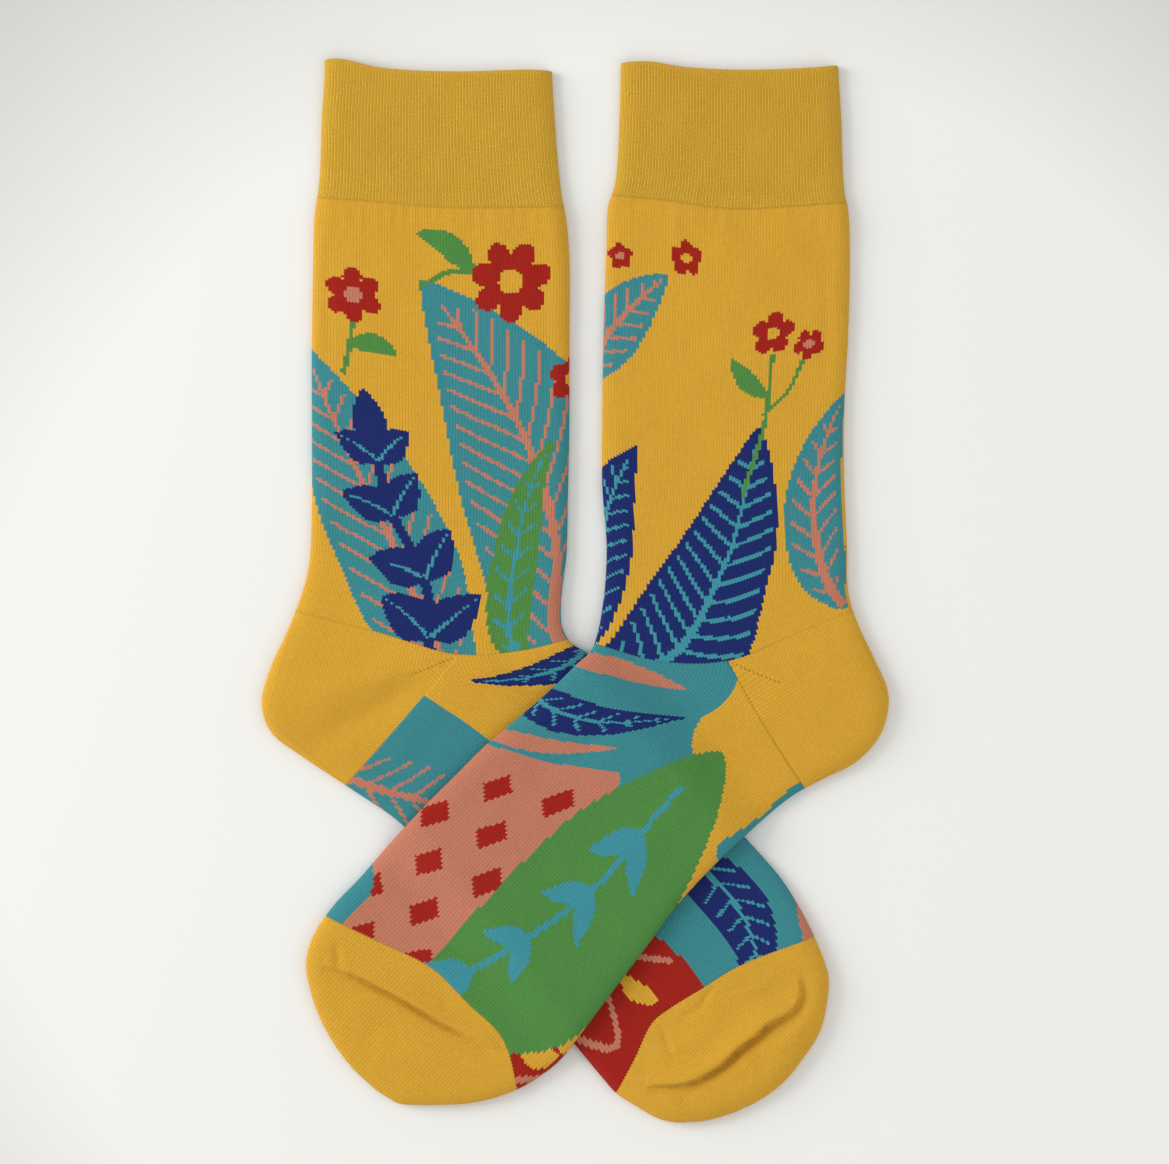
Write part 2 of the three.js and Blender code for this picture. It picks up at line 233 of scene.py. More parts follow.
class Effects:
    """The shader groups that the knit finishes share."""

    def __init__(self) -> None:
        """Builds each group once."""
        self.stitch = self._stitch()
        self.rib = self._rib()
        self.tone = self._tone()
        self.fibre = self._fibre()

    @staticmethod
    def _stitch() -> bpy.types.NodeTree:
        """Plain knit: two slanted strands a wale, one loop a course.

        Returns:
            A group from stitch coordinates to height, groove and a random value for each strand.
        """
        sheet, given, out = shader_group(
            "Plain stitch",
            {"Stitch": "NodeSocketVector"},
            {"Height": "NodeSocketFloat", "Groove": "NodeSocketFloat", "Fleck": "NodeSocketFloat"},
        )
        apart = sheet.add("ShaderNodeSeparateXYZ")
        sheet.feed(apart.inputs[0], given["Stitch"])
        across = sheet.math("FRACT", apart.outputs[0])
        off_centre = sheet.math("ABSOLUTE", sheet.math("MULTIPLY_ADD", across, 2.0, -1.0))
        slant = sheet.math("SUBTRACT", 1.0, off_centre)
        course = sheet.math("MULTIPLY_ADD", slant, -0.5, apart.outputs[1])
        along = sheet.math("FRACT", course)
        wale = sheet.math("POWER", sheet.math("SINE", sheet.math("MULTIPLY", across, math.pi)), 0.7)
        strand = sheet.math(
            "ABSOLUTE", sheet.math("SINE", sheet.math("MULTIPLY", across, 2 * math.pi))
        )
        loop = sheet.math("POWER", sheet.math("SINE", sheet.math("MULTIPLY", along, math.pi)), 0.6)
        body = sheet.math(
            "MULTIPLY_ADD", sheet.math("MULTIPLY", strand, loop), 0.3,
            sheet.math("MULTIPLY", wale, 0.42)
        )
        height = sheet.math("MULTIPLY_ADD", loop, 0.28, body)
        sheet.feed(out["Height"], height)
        # The groove mask is where the tone group paints shade between the loops.
        sheet.feed(out["Groove"], sheet.span(height, 0.15, 0.75, 1.0, 0.0))
        cell = sheet.add("ShaderNodeCombineXYZ")
        sheet.feed(
            cell.inputs[0], sheet.math("FLOOR", sheet.math("MULTIPLY", apart.outputs[0], 2.0))
        )
        sheet.feed(cell.inputs[1], sheet.math("FLOOR", course))
        noise = sheet.add("ShaderNodeTexWhiteNoise", noise_dimensions="2D")
        sheet.feed(noise.inputs["Vector"], cell.outputs[0])
        sheet.feed(out["Fleck"], noise.outputs["Value"])
        return sheet.tree

    @staticmethod
    def _rib() -> bpy.types.NodeTree:
        """Fine rib: loops in staggered ranks, with small pits between the ribs.

        Returns:
            A group from rib coordinates to height, pit and a random value for each loop.
        """
        sheet, given, out = shader_group(
            "Fine rib",
            {"Stitch": "NodeSocketVector"},
            {"Height": "NodeSocketFloat", "Groove": "NodeSocketFloat", "Fleck": "NodeSocketFloat"},
        )
        apart = sheet.add("ShaderNodeSeparateXYZ")
        sheet.feed(apart.inputs[0], given["Stitch"])
        half = sheet.math("MULTIPLY", apart.outputs[0], 2.0)
        rank = sheet.math("FLOOR", half)
        odd = sheet.math("MULTIPLY", sheet.math("MODULO", rank, 2.0), 0.5)
        course = sheet.math("ADD", sheet.math("MULTIPLY", apart.outputs[1], 0.5), odd)
        across = sheet.math("SINE", sheet.math("MULTIPLY", sheet.math("FRACT", half), math.pi))
        loop = sheet.math("SINE", sheet.math("MULTIPLY", sheet.math("FRACT", course), math.pi))
        height = sheet.math("POWER", sheet.math("MULTIPLY", across, loop), 0.55)
        cell = sheet.add("ShaderNodeCombineXYZ")
        sheet.feed(cell.inputs[0], rank)
        sheet.feed(cell.inputs[1], sheet.math("FLOOR", course))
        noise = sheet.add("ShaderNodeTexWhiteNoise", noise_dimensions="2D")
        sheet.feed(noise.inputs["Vector"], cell.outputs[0])
        sheet.feed(out["Height"], height)
        # The pit mask is where the tone group paints shade between the ribs.
        pit = sheet.span(height, 0.2, 0.8, 1.0, 0.0)
        uneven = sheet.math("MULTIPLY_ADD", noise.outputs["Value"], 0.7, 0.3)
        sheet.feed(out["Groove"], sheet.math("MULTIPLY", pit, uneven))
        sheet.feed(out["Fleck"], noise.outputs["Value"])
        return sheet.tree

    @staticmethod
    def _tone() -> bpy.types.NodeTree:
        """Uneven dye and light wear over a yarn's colour, with painted shade in the grooves.

        Returns:
            A group that turns a yarn's colour into what shows.
        """
        sheet, given, out = shader_group(
            "Yarn tone",
            {
                "Colour": "NodeSocketColor",
                "Groove": "NodeSocketFloat",
                "Fleck": "NodeSocketFloat",
                "Gap shade": "NodeSocketFloat",
                "Fleck share": "NodeSocketFloat",
                "Patchiness": "NodeSocketFloat",
            },
            {"Colour": "NodeSocketColor"},
        )
        place = sheet.add("ShaderNodeTexCoord")
        patch = sheet.add("ShaderNodeTexNoise")
        sheet.feed(patch.inputs["Vector"], place.outputs["Object"])
        patch.inputs["Scale"].default_value = 34.0
        patch.inputs["Detail"].default_value = 3.0
        swing = sheet.math(
            "MULTIPLY", sheet.math("SUBTRACT", patch.outputs[0], 0.5), given["Patchiness"]
        )
        fleck = sheet.math(
            "MULTIPLY", sheet.math("SUBTRACT", given["Fleck"], 0.5), given["Fleck share"]
        )
        level = sheet.math("ADD", sheet.math("ADD", swing, fleck), 1.0)
        # Painted shade: the colour darkens by Gap shade where the groove mask is high, between loops and plies.
        gap = sheet.math("MULTIPLY", given["Groove"], given["Gap shade"])
        value = sheet.math("MULTIPLY", level, sheet.math("SUBTRACT", 1.0, gap))
        grey = sheet.add("ShaderNodeCombineColor")
        for socket in grey.inputs:
            sheet.feed(socket, value)
        sheet.feed(out["Colour"], sheet.blend(1.0, given["Colour"], grey.outputs[0], "MULTIPLY"))
        return sheet.tree

    @staticmethod
    def _fibre() -> bpy.types.NodeTree:
        """Loose cotton fibres on a yarn's face.

        Returns:
            A group that puts out the height and a roughness of the fibres.
        """
        sheet, _, out = shader_group(
            "Cotton fibre", {}, {"Height": "NodeSocketFloat", "Roughness": "NodeSocketFloat"}
        )
        place = sheet.add("ShaderNodeTexCoord")
        noise = sheet.add("ShaderNodeTexNoise")
        sheet.feed(noise.inputs["Vector"], place.outputs["Object"])
        noise.inputs["Scale"].default_value = 2600.0
        noise.inputs["Detail"].default_value = 4.0
        noise.inputs["Roughness"].default_value = 0.7
        sheet.feed(out["Height"], noise.outputs[0])
        sheet.feed(out["Roughness"], sheet.span(noise.outputs[0], 0.3, 0.7, 0.78, 0.95))
        return sheet.tree


def empty_material(name: str) -> tuple[bpy.types.Material, NodeSheet]:
    """Starts a material with no nodes.

    Args:
        name: The material's name.

    Returns:
        The material and the sheet of its node tree.
    """
    material = bpy.data.materials.new(name)
    material.use_nodes = True
    sheet = NodeSheet(material.node_tree)
    sheet.tree.nodes.clear()
    return material, sheet


@dataclass(frozen=True)
class KnitFinish:
    """Cotton knit whose colour comes from the yarn attribute of each stitch, with painted shade in the grooves
    between loops.
    """

    name: str
    ribbed: bool = False
    relief: float = 0.0002
    # How much the grooves between loops are darkened: painted shade.
    gap_shade: float = 0.16
    fleck_share: float = 0.09
    patchiness: float = 0.1
    fuzz_share: float = 0.5
    fuzz_depth: float = 0.0001
    specular: float = 0.12
    sheen: float = 0.05
    sheen_roughness: float = 0.6

    def build(self, effects: Effects) -> bpy.types.Material:
        """Makes the material.

        Args:
            effects: The shared shader groups.

        Returns:
            The material.
        """
        material, sheet = empty_material(self.name)
        yarn = sheet.add("ShaderNodeAttribute", attribute_name="yarn")
        stitches = sheet.add("ShaderNodeUVMap", uv_map="Stitches")
        knit = sheet.add(
            "ShaderNodeGroup", node_tree=effects.rib if self.ribbed else effects.stitch
        )
        sheet.feed(knit.inputs["Stitch"], stitches.outputs[0])
        tone = sheet.add("ShaderNodeGroup", node_tree=effects.tone)
        sheet.feed(tone.inputs["Colour"], yarn.outputs["Color"])
        sheet.feed(tone.inputs["Groove"], knit.outputs["Groove"])
        sheet.feed(tone.inputs["Fleck"], knit.outputs["Fleck"])
        tone.inputs["Gap shade"].default_value = self.gap_shade
        tone.inputs["Fleck share"].default_value = self.fleck_share
        tone.inputs["Patchiness"].default_value = self.patchiness
        fibre = sheet.add("ShaderNodeGroup", node_tree=effects.fibre)
        loops = sheet.add("ShaderNodeBump")
        loops.inputs["Strength"].default_value = 1.0
        loops.inputs["Distance"].default_value = self.relief
        sheet.feed(loops.inputs["Height"], knit.outputs["Height"])
        fuzz = sheet.add("ShaderNodeBump")
        fuzz.inputs["Strength"].default_value = self.fuzz_share
        fuzz.inputs["Distance"].default_value = self.fuzz_depth
        sheet.feed(fuzz.inputs["Height"], fibre.outputs["Height"])
        sheet.feed(fuzz.inputs["Normal"], loops.outputs[0])
        shader = sheet.add("ShaderNodeBsdfPrincipled")
        sheet.feed(shader.inputs["Base Color"], tone.outputs["Colour"])
        sheet.feed(shader.inputs["Roughness"], fibre.outputs["Roughness"])
        sheet.feed(shader.inputs["Normal"], fuzz.outputs[0])
        shader.inputs["Specular IOR Level"].default_value = self.specular
        shader.inputs["Sheen Weight"].default_value = self.sheen
        shader.inputs["Sheen Roughness"].default_value = self.sheen_roughness
        output = sheet.add("ShaderNodeOutputMaterial")
        sheet.feed(output.inputs["Surface"], shader.outputs[0])
        return material


@dataclass(frozen=True)
class ThreadAndEyeletShadeFinish:
    """Twisted thread of the toe seam; in a darker colour, the same finish makes the beads of painted shade at the
    eyelets.
    """

    name: str
    colour: tuple[int, int, int]
    band_scale: float = 520.0
    # How much the grooves between the plies are darkened: painted shade.
    gap_shade: float = 0.2
    patchiness: float = 0.12
    relief: float = 0.00008
    sheen: float = 0.15

    def build(self, effects: Effects) -> bpy.types.Material:
        """Makes the material.

        Args:
            effects: The shared shader groups.

        Returns:
            The material.
        """
        material, sheet = empty_material(self.name)
        place = sheet.add("ShaderNodeTexCoord")
        plies = sheet.add("ShaderNodeTexWave", wave_type="BANDS", bands_direction="DIAGONAL")
        sheet.feed(plies.inputs["Vector"], place.outputs["Object"])
        plies.inputs["Scale"].default_value = self.band_scale
        tone = sheet.add("ShaderNodeGroup", node_tree=effects.tone)
        tone.inputs["Colour"].default_value = linear_rgba(self.colour)
        sheet.feed(tone.inputs["Groove"], sheet.math("SUBTRACT", 1.0, plies.outputs["Fac"]))
        tone.inputs["Fleck"].default_value = 0.5
        tone.inputs["Gap shade"].default_value = self.gap_shade
        tone.inputs["Patchiness"].default_value = self.patchiness
        fibre = sheet.add("ShaderNodeGroup", node_tree=effects.fibre)
        bump = sheet.add("ShaderNodeBump")
        bump.inputs["Distance"].default_value = self.relief
        sheet.feed(bump.inputs["Height"], plies.outputs["Fac"])
        shader = sheet.add("ShaderNodeBsdfPrincipled")
        sheet.feed(shader.inputs["Base Color"], tone.outputs["Colour"])
        sheet.feed(shader.inputs["Roughness"], fibre.outputs["Roughness"])
        sheet.feed(shader.inputs["Normal"], bump.outputs[0])
        shader.inputs["Sheen Weight"].default_value = self.sheen
        output = sheet.add("ShaderNodeOutputMaterial")
        sheet.feed(output.inputs["Surface"], shader.outputs[0])
        return material


@dataclass(frozen=True)
class FloorFinish:
    """Matte pale board under the socks, with painted shade: a little darker away from its middle, where the light
    falls off.
    """

    name: str = "Pale board"
    colour: tuple[int, int, int] = (232, 232, 229)
    middle: tuple[float, float, float] = (0.03, -0.05, 0.0)
    pale_to: float = 0.25
    painted_shade_from: float = 0.38
    painted_shade_level: float = 0.64
    patch_scale: float = 3.0
    unevenness: float = 0.03
    roughness: float = 0.9
    specular: float = 0.1

    def build(self) -> bpy.types.Material:
        """Makes the material.

        Returns:
            The material.
        """
        material = bpy.data.materials.new(self.name)
        material.use_nodes = True
        sheet = NodeSheet(material.node_tree)
        shader = sheet.tree.nodes["Principled BSDF"]
        place = sheet.add("ShaderNodeTexCoord")
        reach = sheet.add("ShaderNodeVectorMath", operation="DISTANCE")
        sheet.feed(reach.inputs[0], place.outputs["Object"])
        sheet.feed(reach.inputs[1], self.middle)
        noise = sheet.add("ShaderNodeTexNoise")
        sheet.feed(noise.inputs["Vector"], place.outputs["Object"])
        noise.inputs["Scale"].default_value = self.patch_scale
        uneven = sheet.math(
            "MULTIPLY_ADD", noise.outputs[0], self.unevenness, reach.outputs["Value"]
        )
        pale = linear_rgba(self.colour)
        # Painted shade: the board's colour darkens away from its middle, standing in for light that falls off.
        painted_dim_colour = tuple(self.painted_shade_level * part for part in pale[:3]) + (1.0,)
        share = sheet.span(uneven, self.pale_to, self.painted_shade_from, 0.0, 1.0)
        sheet.feed(shader.inputs["Base Color"], sheet.blend(share, pale, painted_dim_colour))
        shader.inputs["Roughness"].default_value = self.roughness
        shader.inputs["Specular IOR Level"].default_value = self.specular
        return material


# Lines in plan


def centripetal(points: Array, places: Array) -> Array:
    """Points of a centripetal Catmull-Rom curve.

    Args:
        points: The rows that the curve passes through.
        places: Where to read it, counted in rows.

    Returns:
        One point for each place.
    """
    padded = np.vstack([2 * points[0] - points[1], points, 2 * points[-1] - points[-2]])
    cell = np.clip(np.floor(places).astype(int), 0, len(points) - 2)
    weight = (places - cell)[..., None]
    p0, p1, p2, p3 = (padded[cell + k] for k in range(4))
    d0, d1, d2 = (
        np.sqrt(np.maximum(np.linalg.norm(b - a, axis=-1, keepdims=True), 1e-8))
        for a, b in ((p0, p1), (p1, p2), (p2, p3))
    )
    t1 = ((p1 - p0) / d0 - (p2 - p0) / (d0 + d1) + (p2 - p1) / d1) * d1
    t2 = ((p2 - p1) / d1 - (p3 - p1) / (d1 + d2) + (p3 - p2) / d2) * d1
    square = (-3 * p1 + 3 * p2 - 2 * t1 - t2) * weight**2
    return p1 + t1 * weight + square + (2 * p1 - 2 * p2 + t1 + t2) * weight**3


def smooth_route(points: Sequence[Sequence[float]], steps: int = 6) -> Array:
    """A smooth line through a few points.

    Args:
        points: The points, in plan or in space.
        steps: How many pieces each span gets.

    Returns:
        The line's points.
    """
    rows = np.array(points, dtype=float)
    if len(rows) < 3:
        return rows
    return centripetal(rows, np.linspace(0, len(rows) - 1, steps * (len(rows) - 1) + 1))


def nearest_on(route: Array, places: Array) -> tuple[Array, Array, Array]:
    """Distance of places in plan to a line.

    Args:
        route: The line's points.
        places: The places, in an array whose last axis is x and y.

    Returns:
        The distance, the share of the line's length at the nearest point, and the side, 1 or -1.
    """
    flat = places.reshape(-1, 2)
    start, step = route[:-1], np.diff(route, axis=0)
    length = np.hypot(step[:, 0], step[:, 1])
    before = np.concatenate([[0.0], np.cumsum(length)])[:-1]
    total = length.sum()
    distance, along, side = np.empty(len(flat)), np.empty(len(flat)), np.empty(len(flat))
    for low in range(0, len(flat), BATCH):
        part = flat[low : low + BATCH]
        dx = part[:, None, 0] - start[None, :, 0]
        dy = part[:, None, 1] - start[None, :, 1]
        share = np.clip((dx * step[:, 0] + dy * step[:, 1]) / (length**2), 0, 1)
        gap = np.hypot(dx - share * step[:, 0], dy - share * step[:, 1])
        best = gap.argmin(axis=1)
        rows = np.arange(len(part))
        distance[low : low + BATCH] = gap[rows, best]
        along[low : low + BATCH] = (before[best] + share[rows, best] * length[best]) / total
        cross = step[best, 0] * dy[rows, best] - step[best, 1] * dx[rows, best]
        side[low : low + BATCH] = np.where(cross < 0, -1.0, 1.0)
    shape = places.shape[:-1]
    return distance.reshape(shape), along.reshape(shape), side.reshape(shape)


def points_inside(ring: Array, places: Array) -> Array:
    """Which places lie inside a closed line.

    Args:
        ring: The line's points, the first one repeated at the end.
        places: Places in plan.

    Returns:
        True where a place is inside.
    """
    x, y = places[..., 0], places[..., 1]
    hit = np.zeros(x.shape, dtype=bool)
    for (ax, ay), (bx, by) in zip(ring[:-1], ring[1:]):
        if ay == by:
            continue
        hit ^= ((ay > y) != (by > y)) & (x < ax + (y - ay) * (bx - ax) / (by - ay))
    return hit


def smoothstep(value: Array, low: float, high: float) -> Array:
    """Smooth step from 0 at low to 1 at high."""
    share = np.clip((value - low) / (high - low), 0, 1)
    return share * share * (3 - 2 * share)


@dataclass(frozen=True)
class Crease:
    """A soft ridge of the upper face, or a trough where rise is negative, along a line in plan."""

    route: tuple[Point, ...]
    rise: float
    spread: float
    fade: float = 0.6

    def rise_at(self, places: Array) -> Array:
        """What the crease adds at places in plan.

        Args:
            places: The places.

        Returns:
            The rise in millimetres.
        """
        return near_line(self.route, 3 * self.spread, places, self._profile)

    def _profile(self, distance: Array, along: Array, side: Array) -> Array:
        """The rise at a distance from the line and a share of its length."""
        fall = np.exp(-((distance / self.spread) ** 2))
        return self.rise * np.sin(np.pi * along) ** self.fade * fall


@dataclass(frozen=True)
class Fold:
    """A pleat of the upper face: a ridge left of its line, and a trough right of it."""

    route: tuple[Point, ...]
    ridge: float
    ridge_spread: float
    trough: float
    trough_spread: float
    edge: float = 0.5
    fade: float = 0.5

    def rise_at(self, places: Array) -> Array:
        """What the pleat adds at places in plan.

        Args:
            places: The places.

        Returns:
            The rise in millimetres.
        """
        return near_line(
            self.route, 3 * max(self.ridge_spread, self.trough_spread), places, self._profile
        )

    def _profile(self, distance: Array, along: Array, side: Array) -> Array:
        """The rise at a distance from the line, a share of its length and a side."""
        share = smoothstep(distance * side, -self.edge, self.edge)
        high = self.ridge * np.exp(-((distance / self.ridge_spread) ** 2))
        low = self.trough * np.exp(-((distance / self.trough_spread) ** 2))
        return np.sin(np.pi * along) ** self.fade * (share * high - (1 - share) * low)


def near_line(
    route: Sequence[Point],
    reach: float,
    places: Array,
    profile: Callable[[Array, Array, Array], Array],
) -> Array:
    """Works a profile out only at the places that a line reaches.

    Args:
        route: The line's points.
        reach: How far from the line the profile is felt.
        places: Places in plan.
        profile: Gives a value from the distance, the share of the length and the side.

    Returns:
        The value at each place, 0 away from the line.
    """
    line = smooth_route(route)
    value = np.zeros(places.shape[:-1])
    low, high = line.min(axis=0) - reach, line.max(axis=0) + reach
    felt = ((places > low) & (places < high)).all(axis=-1)
    if felt.any():
        distance, along, side = nearest_on(line, places[felt])
        value[felt] = profile(distance, np.clip(along, 0, 1), side)
    return value


@dataclass(frozen=True)
class Ripple:
    """Slow unevenness of cloth that lies on a table: a wave across the plan."""

    length: float
    angle: float
    phase: float
    height: float

    def rise_at(self, places: Array) -> Array:
        """What the wave adds at places in plan."""
        turn = math.radians(self.angle)
        run = places[..., 0] * math.cos(turn) + places[..., 1] * math.sin(turn)
        return self.height * np.sin(2 * np.pi * run / self.length + self.phase)


RIPPLES = (
    Ripple(61.0, 12.0, 0.4, 0.10),
    Ripple(43.0, 71.0, 2.1, 0.09),
    Ripple(27.0, 118.0, 4.0, 0.07),
    Ripple(19.0, 38.0, 1.3, 0.05),
    Ripple(14.0, 155.0, 5.2, 0.04),
)


# The socks' tables

# Sections from above the cuff to the toe's tip: frontX, frontY, backX, backY, height.
UNDER_SECTIONS = (
    (-8.0, 193.0, -88.5, 196.5, 3.9),
    (-8.0, 180.5, -87.5, 184.5, 3.9),
    (-7.0, 163.0, -88.5, 165.5, 4.1),
    (-5.0, 140.5, -89.5, 142.0, 4.0),
    (-3.0, 129.0, -91.0, 131.5, 4.4),
    (-2.0, 116.0, -91.5, 116.0, 4.3),
    (-2.0, 86.0, -92.0, 86.0, 4.2),
    (-2.0, 56.5, -92.0, 56.5, 4.2),
    (-2.5, 32.0, -92.0, 30.0, 4.3),
    (-3.0, 12.5, -93.0, 9.0, 4.4),
    (-4.5, 0.5, -96.5, -4.0, 4.6),
    (-5.0, -7.5, -101.0, -15.0, 4.9),
    (-4.5, -12.5, -106.5, -27.0, 5.1),
    (-3.0, -16.0, -109.5, -39.5, 5.2),
    (-1.0, -18.5, -106.0, -49.5, 5.1),
    (1.5, -20.0, -95.0, -58.0, 4.8),
    (4.0, -21.5, -80.0, -68.0, 4.5),
    (8.5, -27.0, -60.0, -82.0, 4.1),
    (17.5, -37.0, -50.0, -94.5, 3.9),
    (29.5, -51.0, -37.5, -110.5, 3.8),
    (44.5, -68.5, -22.5, -130.0, 3.8),
    (58.5, -85.0, -9.0, -147.5, 4.0),
    (72.0, -100.5, 2.5, -161.5, 4.6),
    (79.5, -112.5, 9.5, -170.0, 5.0),
    (85.0, -124.0, 14.5, -175.5, 5.3),
    (88.5, -134.5, 21.5, -180.0, 5.5),
    (88.0, -144.0, 27.5, -183.5, 5.5),
    (85.5, -154.0, 34.0, -185.5, 5.4),
    (79.5, -163.5, 41.0, -185.5, 5.3),
    (73.5, -171.0, 48.0, -184.5, 5.0),
    (67.5, -176.0, 56.0, -182.0, 4.6),
    (63.5, -178.5, 60.5, -180.0, 4.4),
)

OVER_SECTIONS = (
    (16.5, 196.5, 92.0, 194.5, 3.9),
    (16.0, 184.0, 92.0, 183.0, 3.9),
    (15.5, 164.0, 93.0, 165.0, 4.1),
    (14.0, 142.5, 94.0, 141.0, 4.0),
    (11.5, 134.0, 95.5, 132.5, 4.4),
    (11.0, 121.0, 96.0, 119.5, 4.3),
    (10.0, 91.5, 95.5, 91.5, 4.2),
    (9.5, 63.5, 94.0, 62.5, 4.2),
    (9.5, 37.0, 94.0, 39.0, 4.3),
    (11.0, 16.0, 95.0, 16.0, 4.4),
    (10.5, 2.0, 95.5, -0.5, 4.6),
    (9.5, -6.0, 99.0, -12.0, 4.9),
    (8.5, -12.0, 104.5, -23.5, 5.1),
    (7.5, -16.0, 109.5, -36.5, 5.2),
    (6.5, -19.0, 107.0, -49.5, 5.1),
    (4.5, -22.0, 98.5, -59.5, 4.8),
    (0.5, -25.5, 87.0, -65.5, 4.5),
    (-4.5, -30.5, 76.0, -71.5, 4.3),
    (-12.5, -38.0, 62.0, -83.0, 4.1),
    (-22.0, -46.0, 48.0, -96.0, 4.1),
    (-31.5, -54.0, 36.0, -109.0, 4.1),
    (-42.0, -64.5, 26.0, -122.5, 4.1),
    (-53.5, -76.0, 15.0, -137.0, 4.2),
    (-65.0, -88.5, 3.0, -153.0, 4.5),
    (-75.0, -100.0, -6.5, -165.0, 4.8),
    (-84.5, -110.0, -18.0, -173.0, 5.1),
    (-91.5, -120.5, -28.0, -177.0, 5.3),
    (-94.0, -130.0, -38.0, -179.0, 5.4),
    (-92.5, -139.5, -47.5, -179.5, 5.4),
    (-88.5, -150.5, -55.0, -179.5, 5.3),
    (-83.0, -160.0, -61.5, -179.0, 5.0),
    (-77.5, -167.0, -65.5, -177.0, 4.6),
    (-74.5, -170.0, -70.0, -174.0, 4.4),
)

UNDER_CREASES = (
    Crease(((-46, -21), (-74, -32), (-101, -39)), 0.85, 5.5),
    Crease(((-47, -28), (-61, -36), (-74, -44), (-86, -50), (-97, -57)), -1.0, 5.0),
    Crease(((-66, -62), (-54, -48), (-48, -38)), 0.3, 4.0),
    Crease(((-86.5, 124), (-86, 100), (-87, 72)), -0.4, 2.4),
    Crease(((-12, 120), (-10, 84), (-11, 50)), -0.25, 3.0),
    Crease(((-30, -12), (-20, -30), (-6, -44)), -0.4, 4.0),
    Crease(((12, -60), (24, -84), (30, -108)), 0.35, 5.0),
    Fold(
        (
            (24.8, -172.8), (38.8, -171.8), (45.1, -169), (51.4, -164.8), (57, -159.2),
            (62.2, -155.7), (67.5, -150.8), (73.1, -148), (76.6, -145.2), (78.7, -139.9),
            (78.3, -134.7),
        ),
        1.7,
        5.5,
        2.2,
        3.2,
        0.6,
    ),
    Crease(((38, -172.6), (51.4, -165.6), (62.2, -156.5), (73.1, -148.8)), -0.9, 1.3),
    Crease(((26, -166), (38, -158), (52, -150)), 0.5, 3.5),
    Crease(((66, -163), (76, -155), (82, -144)), 0.45, 3.0),
    Crease(((49.3, -137.5), (46.1, -141), (43, -145.9), (38.8, -148), (37, -150.8)), -0.55, 1.3),
    Crease(((30, -150.8), (31.8, -157.1), (34.9, -164.1)), -0.5, 1.4),
    Crease(((38.8, -173.2), (38.8, -180.9)), -0.4, 3.0),
    Crease(((53, -141), (62, -139), (70, -134)), 0.4, 1.8),
)

OVER_CREASES = (
    Crease(((62, -32), (80, -38), (99, -43)), -0.5, 5.5),
    Crease(((60, -38), (78, -48), (92, -56)), 0.35, 5.0),
    Crease(((87, 120), (88, 96), (87, 70)), -0.3, 2.6),
    Crease(((16.5, 124), (16, 98), (15.5, 66)), -0.35, 2.4),
    Crease(((20, -36), (4, -54), (-16, -66)), -0.4, 4.5),
    Crease(((46, -60), (24, -86), (0, -112)), 0.35, 5.0),
    Fold(
        (
            (-88, -130.4), (-82.4, -132.2), (-77, -134), (-68.5, -138.2), (-61.5, -141.8),
            (-54.5, -145.9), (-46.4, -150.8), (-38.3, -154.8), (-28, -160.4),
        ),
        1.2,
        4.4,
        1.4,
        2.8,
        0.5,
        0.4,
    ),
    Crease(
        (
            (-79, -133.4), (-68.5, -138.6), (-61.5, -142.2), (-54.5, -146.3), (-46.4, -151.2),
            (-38, -155.4)
        ),
        -1.4, 1.0, 0.4
    ),
    Crease(((-74, -160), (-66, -152), (-60, -158)), -0.25, 4.0),
    Crease(((-46.9, -143.5), (-43.9, -146.5)), -0.3, 1.8),
    Crease(((-83.6, -123), (-82.8, -128), (-81.6, -132.4)), -0.7, 1.5),
    Crease(((-62, -158), (-50, -165), (-42, -172)), 0.3, 5.0),
)


def puckers(
    border: Sequence[Point], pitch: float, length: float, rise: float, spread: float, seed: int
) -> tuple[Crease, ...]:
    """Uneven soft ridges that run down from a border, as where a cuff draws the leg in.

    Args:
        border: The border's points in plan.
        pitch: How far apart the ridges are.
        length: How long they are.
        rise: How high they are.
        spread: How wide they are.
        seed: Fixes what is uneven.

    Returns:
        The ridges.
    """
    line = smooth_route(border)
    line = line[np.argsort(line[:, 0])]
    uneven = np.random.default_rng(seed)
    x, made = line[0, 0] + 7, []
    while x < line[-1, 0] - 7:
        y = float(np.interp(x, line[:, 0], line[:, 1]))
        foot = (x + uneven.uniform(-1, 1), y - length * uneven.uniform(0.6, 1.4))
        tall, wide = rise * uneven.uniform(0.5, 1.3), spread * uneven.uniform(0.8, 1.3)
        made.append(Crease(((x, y + 1.5), foot), tall, wide))
        x += pitch * uneven.uniform(0.7, 1.4)
    return tuple(made)


UNDER_BORDERS = {
    "cuff_top": (
        (-95, 184.6), (-83.4, 185.8), (-68.7, 182.8), (-44.5, 181.4), (-10, 181.7), (0, 180)
    ),
    "cuff_foot": ((-98, 137.9), (-72, 136.2), (-48, 134.1), (4, 134.1)),
    "heel_course": ((-104, -5), (-68, -14.5), (-40.7, -22), (-20, -21), (5, -15)),
    "heel_end": ((-40.4, -21.9), (-60, -45), (-83.5, -71.7)),
    "toe_course": (
        (88, -119), (57, -130.8), (44.4, -138.5), (33.5, -145.2), (26.9, -150.5), (20.6, -163.4),
        (11, -181),
    ),
}

OVER_BORDERS = {
    "cuff_top": ((10, 183.8), (24.4, 184.9), (37.4, 183.1), (57, 182.1), (82.9, 182.8), (98, 184)),
    "cuff_foot": ((6, 138.9), (32, 136.4), (55, 133.4), (78, 134.4), (102, 136.2)),
    "heel_course": ((105, -4), (78, -14.5), (53.5, -24.2), (30, -24.5), (0, -16)),
    "heel_end": ((53.2, -24.1), (65, -45), (83.2, -73.5)),
    "toe_course": (
        (-92, -111), (-68.7, -122.1), (-49.8, -131.5), (-37.2, -143.8), (-24.9, -156.4),
        (-18.5, -182)
    ),
}


# The pattern's chart


